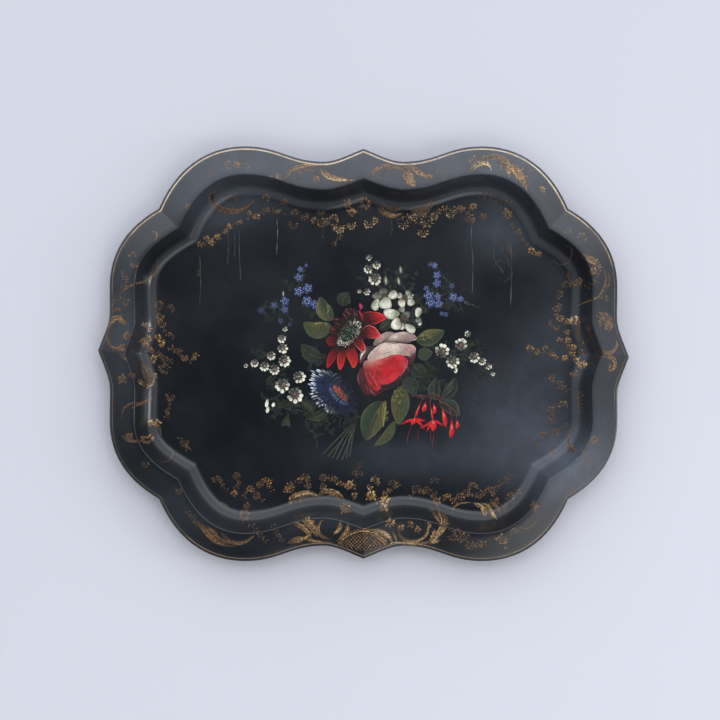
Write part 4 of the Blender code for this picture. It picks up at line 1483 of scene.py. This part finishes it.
# the knots of the stem, the leaves' length and the strength
SPRAYS = (
    (((-200, 128), (-190, 138), (-172, 148), (-155, 162)), 4, 0.42),
    (((-150, 160), (-135, 170), (-112, 175), (-98, 173)), 4, 0.36),
    (((-50, 168), (-40, 158), (-25, 152)), 4, 0.6), (((-27, 148), (-30, 142), (-36, 134)), 3, 0.3),
    (((40, 163), (60, 170), (82, 168)), 4, 0.55), (((88, 168), (96, 177), (110, 177)), 4, 0.6),
    (((112, 174), (122, 176), (130, 170), (132, 162)), 4, 0.5),
    (((180, 160), (190, 148), (205, 128)), 4, 0.35), (((174, 136), (178, 128), (184, 118)), 3, 0.24),
    (((-254, 2), (-246, -6), (-239, -16)), 3, 0.45), (((-252, 4), (-242, -4), (-234, -9)), 3, 0.42),
    (((-236, 8), (-226, 2), (-212, -8), (-204, -2)), 4, 0.4),
    (((-244, 62), (-250, 50), (-246, 34), (-240, 26)), 4, 0.4), (((-250, -18), (-242, -24)), 3, 0.35),
    (((-240, -48), (-236, -60), (-240, -76)), 4, 0.26),
    (((-226, -100), (-218, -110), (-214, -118)), 4, 0.28), (((240, 62), (236, 50), (246, 38)), 4, 0.5),
    (((252, 30), (249, 16), (252, 6)), 4, 0.55), (((200, 10), (212, 2), (226, 0), (236, -6)), 4, 0.45),
    (((228, -26), (236, -34), (248, -44)), 4, 0.33), (((236, -62), (230, -70), (232, -82)), 4, 0.32),
    (((214, -98), (232, -96), (246, -88)), 4, 0.3), (((258, -50), (264, -60), (262, -72)), 4, 0.2),
    (((-96, -170), (-92, -162), (-80, -156)), 4, 0.5),
    (((-78, -155), (-70, -152), (-66, -162)), 4, 0.42),
    (((-50, -166), (-48, -152), (-36, -152)), 4, 0.42),
    (((-32, -156), (-24, -160), (-12, -162)), 4, 0.55), (((-15, -146), (-6, -140), (-3, -134)), 3, 0.3),
    (((-146, -176), (-138, -166), (-124, -178)), 4, 0.42),
    (((-128, -162), (-118, -156), (-112, -166)), 4, 0.48),
    (((-185, -150), (-176, -156), (-168, -166)), 4, 0.28),
    (((-158, -146), (-152, -156), (-156, -164)), 4, 0.28),
    (((4, -180), (12, -174), (18, -180)), 4, 0.6), (((22, -172), (32, -166), (42, -160)), 4, 0.36),
    (((56, -176), (66, -168), (82, -172), (90, -182)), 4, 0.4),
    (((94, -178), (104, -174), (112, -184)), 4, 0.45),
    (((112, -182), (126, -172), (142, -174)), 4, 0.42),
    (((146, -172), (156, -168), (162, -182)), 4, 0.42),
    (((160, -166), (170, -158), (178, -148)), 4, 0.26),
    (((172, -182), (180, -172), (190, -168)), 4, 0.34),
    (((100, -206), (108, -216), (116, -224)), 4, 0.3),
    (((118, -216), (124, -226), (134, -230), (146, -229)), 4, 0.38),
    (((164, -216), (170, -226), (172, -233)), 4, 0.38),
    (((-140, -206), (-128, -214), (-118, -224)), 4, 0.24),
    (((-110, -206), (-104, -216), (-98, -224)), 4, 0.22),
    (((-215, -188), (-206, -196), (-200, -204)), 4, 0.24),
    (((-290, 78), (-286, 88), (-288, 98)), 5, 0.3), (((-305, 60), (-294, 64), (-286, 62)), 5, 0.24),
    (((270, 80), (280, 90), (284, 104)), 4, 0.22), (((280, 48), (290, 44), (298, 34)), 5, 0.3),
    (((190, 224), (196, 210), (198, 198)), 4, 0.35), (((-112, 210), (-106, 214), (-100, 212)), 4, 0.5),
    (((140, 196), (160, 190), (178, 184)), 5, 0.22),
)
# knots, width, strength and strands
SCROLLS = (
    (((-182, 196), (-184, 186), (-176, 178), (-160, 174), (-144, 178), (-132, 190)), 7, 0.36, 4),
    (((-166, 186), (-160, 192), (-154, 188), (-158, 182)), 3, 0.34, 2),
    (((17, 182), (24, 174), (36, 169), (48, 172)), 8, 0.55, 4),
    (((20, 186), (28, 180), (40, 176), (50, 180)), 5, 0.34, 3),
    (((56, 177), (66, 172), (78, 176), (86, 186)), 8, 0.72, 5),
    (((60, 182), (70, 178), (80, 182), (84, 190)), 5, 0.42, 3),
    (((-95, 206), (-92, 216), (-80, 224), (-62, 227), (-40, 227)), 6, 0.56, 4),
    (((-52, 226), (-46, 216), (-30, 210), (-8, 209)), 8, 0.6, 5),
    (((-74, 206), (-80, 214), (-72, 221), (-60, 220), (-54, 214)), 3, 0.3, 2),
    (((12, 206), (12, 218), (24, 226), (42, 227)), 5, 0.42, 4),
    (((22, 212), (26, 221), (38, 224), (52, 218), (54, 208)), 4, 0.3, 3),
    (((48, 226), (52, 216), (56, 206), (62, 201)), 10, 0.56, 6),
    (((44, 226), (58, 224), (70, 216), (84, 213)), 8, 0.48, 5),
    (((127, 217), (132, 225), (142, 229), (151, 227), (154, 220)), 7, 0.74, 5),
    (((142, 233), (158, 237), (172, 231), (180, 220), (186, 208)), 8, 0.62, 5),
    (((168, 230), (174, 222), (176, 212)), 7, 0.66, 4),
    (((176, 228), (184, 218), (192, 208), (196, 198)), 9, 0.6, 5),
    (((160, 231), (166, 226), (165, 218)), 3, 0.4, 2),
    (((-312, 24), (-305, 38), (-294, 43), (-285, 38)), 8, 0.55, 5),
    (((-308, 44), (-298, 54), (-288, 50)), 5, 0.28, 3),
    (((-300, 12), (-292, 6), (-286, 12)), 5, 0.42, 3),
    (((-296, 2), (-288, -4), (-284, -10)), 4, 0.36, 3),
    (((-250, 122), (-253, 101), (-266, 88), (-287, 78), (-298, 65)), 3, 0.42, 2),
    (((-274, -10), (-264, -18), (-259, -30), (-264, -43)), 7, 0.8, 4),
    (((-272, -16), (-266, -24), (-265, -34)), 5, 0.62, 3),
    (((-273, -30), (-268, -36), (-262, -40)), 5, 0.7, 3),
    (((-260, -46), (-260, -55), (-270, -60), (-280, -66)), 4, 0.42, 3),
    (((-292, -98), (-282, -104), (-268, -106)), 5, 0.34, 3),
    (((-258, -84), (-249, -92), (-247, -101)), 3, 0.32, 2),
    (((262, 46), (262, 34), (263, 20), (270, 11)), 5, 0.5, 3),
    (((268, 38), (272, 32), (270, 24)), 3, 0.36, 2), (((262, 122), (273, 113), (285, 105)), 8, 0.52, 4),
    (((254, 106), (250, 96), (258, 84), (272, 82)), 3, 0.24, 2),
    (((286, 106), (292, 90), (284, 70), (270, 63), (258, 57)), 3, 0.42, 2),
    (((292, 104), (296, 88), (290, 72)), 2, 0.26, 2),
    (((282, 10), (288, 2), (298, 2), (305, 10), (302, 18)), 5, 0.46, 4),
    (((280, -6), (290, -2), (301, -7), (302, -17), (294, -21)), 6, 0.48, 4),
    (((290, -12), (297, -14), (294, -20)), 3, 0.3, 2),
    (((277, -78), (260, -86), (250, -104), (255, -119)), 2.4, 0.36, 2),
    (((270, -112), (264, -118), (258, -124)), 3, 0.3, 2),
    (((-92, -182), (-82, -174), (-68, -170), (-54, -174)), 8, 0.82, 5),
    (((-80, -184), (-74, -176), (-60, -171)), 5, 0.72, 3),
    (((-58, -176), (-50, -169), (-38, -168), (-28, -173), (-23, -180)), 6, 0.66, 4),
    (((-46, -176), (-38, -172), (-28, -178)), 3, 0.42, 2),
    (((-30, -182), (-22, -188), (-12, -192)), 8, 0.66, 4),
    (((108, -196), (111, -187), (122, -182), (138, -182)), 2.5, 0.45, 2),
    (((134, -183), (144, -187), (148, -197)), 5, 0.86, 3),
    (((142, -182), (152, -186), (158, -196), (163, -203)), 6, 0.82, 4),
    (((150, -182), (162, -186), (168, -196)), 4, 0.6, 3),
    (((-208, -202), (-196, -206), (-188, -216), (-174, -228), (-152, -232)), 6, 0.5, 4),
    (((-190, -206), (-184, -216), (-176, -222)), 7, 0.42, 4),
    (((-172, -214), (-160, -226), (-144, -227), (-130, -217)), 5, 0.46, 3),
    (((-180, -216), (-166, -226), (-150, -227)), 4, 0.34, 3),
    (((-182, -186), (-172, -183), (-162, -191)), 3, 0.3, 2),
    (((-92, -229), (-84, -223), (-72, -222), (-56, -226), (-34, -228)), 4, 0.6, 3),
    (((-28, -199), (-29, -210), (-37, -218)), 6, 0.62, 3),
    (((-18, -203), (-20, -213), (-28, -223)), 6, 0.6, 3),
    (((-14, -208), (-22, -214), (-33, -227)), 3, 0.5, 2),
    (((90, -186), (98, -200), (92, -214), (80, -228)), 9, 0.76, 5),
    (((90, -222), (76, -228), (58, -229), (40, -227), (30, -230)), 4, 0.7, 3),
    (((94, -224), (86, -226), (76, -229)), 5, 0.62, 3),
    (((42, -209), (46, -221), (60, -226), (74, -220), (78, -208), (72, -201)), 4, 0.68, 3),
    (((76, -200), (80, -206), (76, -212)), 4, 0.6, 2),
    (((80, -188), (88, -196), (94, -206)), 5, 0.5, 3),
    (((6, -211), (20, -214), (30, -220), (36, -229)), 7, 0.74, 4),
    (((2, -213), (14, -218), (24, -226), (28, -234)), 4, 0.66, 2),
    (((34, -212), (38, -220), (40, -228)), 3, 0.42, 2),
    (((206, -188), (209, -199), (197, -210), (184, -206)), 2, 0.36, 2),
    (((166, -214), (164, -219), (159, -223), (157, -218)), 2, 0.45, 2),
    (((117, 170), (121, 165), (127, 166), (129, 172)), 1.2, 0.5, 1),
    (((-39, 131), (-34, 132), (-35, 137), (-38, 135)), 1.2, 0.42, 1),
    (((-257, 145), (-251, 147), (-248, 141), (-252, 134)), 2, 0.42, 2),
    (((-306, 34), (-309, 20), (-300, 7), (-286, 9)), 4, 0.42, 3),
    (((-292, -82), (-288, -66), (-276, -59), (-262, -60)), 3, 0.28, 2),
    (((-247, -112), (-237, -114), (-233, -123), (-240, -131), (-250, -128)), 1.8, 0.3, 2),
    (((231, 126), (236, 110), (250, 112), (252, 126), (242, 132)), 1.8, 0.26, 2),
    (((-36, -222), (-46, -222), (-54, -214), (-53, -204), (-46, -199)), 4, 0.58, 3),
    (((-86, -202), (-76, -207), (-67, -215), (-62, -225)), 6, 0.6, 4),
    (((-80, -198), (-68, -201), (-59, -209), (-55, -220)), 6, 0.62, 4),
    (((-92, -228), (-80, -226), (-68, -220), (-60, -212)), 4, 0.6, 3),
)
# knots, reach, side and strength
PLUMES = (
    (((-180, 178), (-184, 188), (-180, 198)), 5, 1, 0.36),
    (((50, 222), (54, 210), (60, 200)), 8, 1, 0.46), (((174, 230), (184, 216), (192, 204)), 8, 1, 0.5),
    (((-266, -40), (-260, -34), (-258, -24)), 5, -1, 0.7),
    (((-90, -184), (-84, -176), (-74, -170)), 6, 1, 0.7),
    (((142, -186), (146, -192), (147, -198)), 6, 1, 0.66),
    (((-190, -208), (-184, -218), (-172, -228)), 8, 1, 0.36),
    (((84, -210), (88, -218), (80, -228)), 7, -1, 0.6),
    (((-72, -202), (-64, -210), (-56, -220)), 8, 1, 0.42),
    (((262, 116), (276, 110), (286, 100)), 7, 1, 0.34), (((284, 50), (292, 40), (298, 28)), 8, 1, 0.34),
    (((-300, 44), (-290, 42), (-284, 36)), 6, -1, 0.36),
)
BESIDE_STEPS = 6
SPRAY_PAIRS = 6
PLUME_BARBS = 8
TRELLIS_TOP, TRELLIS_MIDDLE, TRELLIS_FOOT = -213, -226, -240
TRELLIS_HALF, TRELLIS_ARCH, TRELLIS_PITCH = 29, 14, 4.2  # half width, fall of its top, and line spacing
TRELLIS_SLANT, TRELLIS_FOOT_RISE = 0.9, 0.33  # sideways and upwards, for each millimetre
GILT_LINE_INSET = 0.0036  # metres in from the edge
GILT_PULL = 6  # steps of the outline that one pull of the brush covers


def trellis_arch(x):
    """The height of the cartouche's arched top over x."""
    return TRELLIS_TOP - (x / TRELLIS_HALF) ** 2 * TRELLIS_ARCH


def paint_trellis(coat):
    """The cartouche on the flange's point: two sets of slanting lines under an arched band."""
    for slant in (-1, 1):
        for line in range(-20, 21):
            run = []
            for y in range(TRELLIS_FOOT - 2, TRELLIS_TOP + 5, 2):
                x = line * TRELLIS_PITCH + slant * (y - TRELLIS_MIDDLE) * TRELLIS_SLANT
                foot = TRELLIS_FOOT + abs(x) * TRELLIS_FOOT_RISE
                if abs(x) < TRELLIS_HALF and foot < y < trellis_arch(x):
                    run.append((x, y))
            if len(run) > 2:
                tone = gilt(0.44 * coat.random.uniform(0.7, 1.2))
                coat.stroke([run[0], run[-1]], lambda t: 0.3, tone, steps=8)
    for shift, half, strength in ((0.0, 0.8, 0.62), (2.6, 0.4, 0.42)):
        band = [(x, trellis_arch(x) + shift) for x in range(-31, 32, 6)]
        coat.stroke(band, leafy(half, 0.3), gilt(strength), steps=30)


def paint_gold():
    coat = Coat("gold_flowers", lift=0.05, seed=21)
    for paint_motif, motifs in ((umbel, UMBELS), (rosette, ROSETTES)):
        for motif in motifs:
            coat.restart()
            paint_motif(coat, *motif)
    coat.done(GOLD)
    coat = Coat("gold_sprays", lift=0.03, seed=22)
    for motif in SPRAYS:
        coat.restart()
        spray(coat, *motif)
    coat.done(GOLD)
    coat = Coat("gold_scrolls", lift=0.03, seed=23)
    paint_trellis(coat)
    for paint_motif, motifs in ((scroll, SCROLLS), (plume, PLUMES)):
        for motif in motifs:
            coat.restart()
            paint_motif(coat, *motif)
    coat.done(GOLD)


def paint_gilt_line():
    """The gilt line inside the bead, in short pulls: painted highlight at +Y, painted shade elsewhere."""
    coat = Coat("gilt_line", lift=0.03, seed=24)
    path = outline(GILT_LINE_INSET) / MM
    for start in range(0, len(path), GILT_PULL):
        knots = [path[(start + at) % len(path)] for at in range(GILT_PULL + 2)]
        y = knots[GILT_PULL // 2][1]
        # upper is the share towards +Y: there the line is wider and painted highlight brightens it to
        # pale cream, painted shade dims it at the sides, and it brightens a little again at the far -Y
        # end
        upper = smooth(60, 215, y)
        bright = 0.14 + 0.6 * upper + 0.18 * smooth(-190, -225, y) + coat.random.uniform(-0.08, 0.08)
        tone = mixed(gilt(bright), srgb("cfc2ad") * bright, 0.35 + 0.45 * smooth(120, 220, y))
        coat.stroke(knots, lambda t: 0.38 + 0.44 * upper, tone, steps=14)
    coat.done(PAINT)


# pale runs of water down the varnish: knots and strength
DRIPS = (
    (((-106, 166), (-105, 150), (-106, 122)), 0.9), (((-151, 153), (-152, 130), (-150, 91)), 0.5),
    (((-200, 122), (-199, 90), (-200, 62)), 0.45),
    (((133, 165), (132, 140), (134, 110), (133, 76)), 0.9), (((160, 149), (160, 117), (171, 100)), 0.6),
    (((180, 139), (181, 100), (180, 61)), 0.75), (((-166, 148), (-165, 128), (-166, 112)), 0.4),
    (((-158, 146), (-157, 134), (-158, 120)), 0.45), (((34, 164), (35, 154), (34, 146)), 0.4),
    (((-50, 158), (-49, 150), (-50, 142)), 0.3), (((166, 140), (170, 126), (178, 112)), 0.35),
    (((158, 104), (166, 114), (178, 108), (182, 96), (172, 88)), 0.3),
)


def paint_drips():
    coat = Coat("varnish_runs", lift=0.02, seed=25)
    for knots, strength in DRIPS:
        tones = [mixed(BLACK, srgb("686d68"), strength * coat.random.uniform(0.2, 1.0)) for _ in range(9)]
        coat.stroke(knots, lambda t: 0.22 + 0.26 * math.sin(9 * t) ** 2, shaded(*tones))
        coat.dot(*knots[-1], 0.7, tones[0], 1.5, 90, steps=8)
    coat.done(PAINT)


# ------------------------------------------------------------------ light, floor and camera
CEILING = 0.022  # the light straight above, as a share of that from the sides
SKY_BEHIND = 0.72  # towards -Y
SKY_AHEAD = 2.0  # towards +Y
SLANTING = 2.5  # more light on the +Y side of straight above
SLANTING_RIGHT = 0.9  # and on the +X side
SKY_COLOUR = (0.88, 0.915, 1.0)
CAMERA_OVER = (-0.0042, -0.0075)
CAMERA_DISTANCE = 2.0  # above the flange
VIEW_WIDTH = 0.8668  # metres across the frame, at the flange's height
SENSOR = 36.0  # mm


def add_area(name, place, width, height, power, colour):
    """A rectangular lamp, aimed at the middle of the tray."""
    lamp = bpy.data.lights.new(name, "AREA")
    lamp.shape = "RECTANGLE"
    lamp.size, lamp.size_y = width, height
    lamp.energy = power
    lamp.color = colour
    holder = bpy.data.objects.new(name, lamp)
    holder.location = place
    holder.rotation_euler = (-Vector(place)).to_track_quat("-Z", "Y").to_euler()
    bpy.context.scene.collection.objects.link(holder)


def add_sky(scene):
    """Soft light from the sides, most of it from +Y, and a dark ceiling straight above."""
    world = bpy.data.worlds.new("studio")
    scene.world = world
    world.use_nodes = True
    tree = world.node_tree
    background = tree.nodes["Background"]
    background.inputs["Color"].default_value = (*SKY_COLOUR, 1.0)
    split = tree.nodes.new("ShaderNodeSeparateXYZ")
    tree.links.new(tree.nodes.new("ShaderNodeTexCoord").outputs["Generated"], split.inputs[0])
    # each part of the sky is a product of two spreads: axis, from low to high, from value to value
    sides = (("Z", 0.80, 0.97, 1.0, CEILING), ("Y", -0.4, 0.95, SKY_BEHIND, SKY_AHEAD))
    ahead = (("Z", 0.78, 0.9, 0.0, 1.0), ("Y", 0.13, 0.29, 0.0, SLANTING))
    right = (("Z", 0.78, 0.9, 0.0, 1.0), ("X", 0.13, 0.3, 0.0, SLANTING_RIGHT))
    total = None
    for spreads in (sides, ahead, right):
        product = tree.nodes.new("ShaderNodeMath")
        product.operation = "MULTIPLY"
        for at, (axis, *limits) in enumerate(spreads):
            spread = tree.nodes.new("ShaderNodeMapRange")
            spread.interpolation_type = "SMOOTHSTEP"
            for socket, limit in zip(("From Min", "From Max", "To Min", "To Max"), limits):
                spread.inputs[socket].default_value = limit
            tree.links.new(split.outputs[axis], spread.inputs["Value"])
            tree.links.new(spread.outputs[0], product.inputs[at])
        if total:
            tree.links.new(total.outputs[0], product.inputs[2])
            product.operation = "MULTIPLY_ADD"
        total = product
    tree.links.new(total.outputs[0], background.inputs["Strength"])


def add_ground():
    bpy.ops.mesh.primitive_plane_add(size=8)
    ground = bpy.context.object
    ground.name = "studio_floor"
    n = Nodes("studio_floor")
    pale = n.mix(n.noise(n.place(), 1.5, 2.0), (0.56, 0.557, 0.592), (0.59, 0.587, 0.622))
    ground.data.materials.append(n.finish(Base_Color=pale, Roughness=0.9))


def add_camera(scene):
    """A camera straight above the tray, like the photo's."""
    lens = bpy.data.cameras.new("camera")
    camera = bpy.data.objects.new("camera", lens)
    camera.location = (*CAMERA_OVER, CAMERA_DISTANCE + EDGE_HEIGHT)
    lens.sensor_width = SENSOR
    lens.lens = SENSOR * CAMERA_DISTANCE / VIEW_WIDTH
    scene.collection.objects.link(camera)
    scene.camera = camera


def add_studio():
    scene = bpy.context.scene
    scene.view_settings.view_transform = "Standard"
    add_ground()
    add_sky(scene)
    add_area("key", (1.1, -1.5, 2.6), 1.8, 1.2, 12.0, (1.0, 0.98, 0.95))
    add_area("side_window", (2.2, -0.3, 0.85), 0.3, 0.7, 10.0, (0.95, 0.97, 1.0))
    add_camera(scene)


add_studio()
add_shell()
PAINT = artist_paint()
GOLD = gold_paint()
paint_foliage()
paint_stems()
paint_leaves()
paint_aster()
paint_blue_flowers()
paint_white_flowers()
paint_white_blossom()
paint_red_flower()
paint_red_flower_heart()
paint_rose()
paint_fuchsias()
paint_gold()
paint_gilt_line()
paint_drips()
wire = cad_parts["edge_wire"]
wire.data.materials.clear()
wire.data.materials.append(drawn_steel())
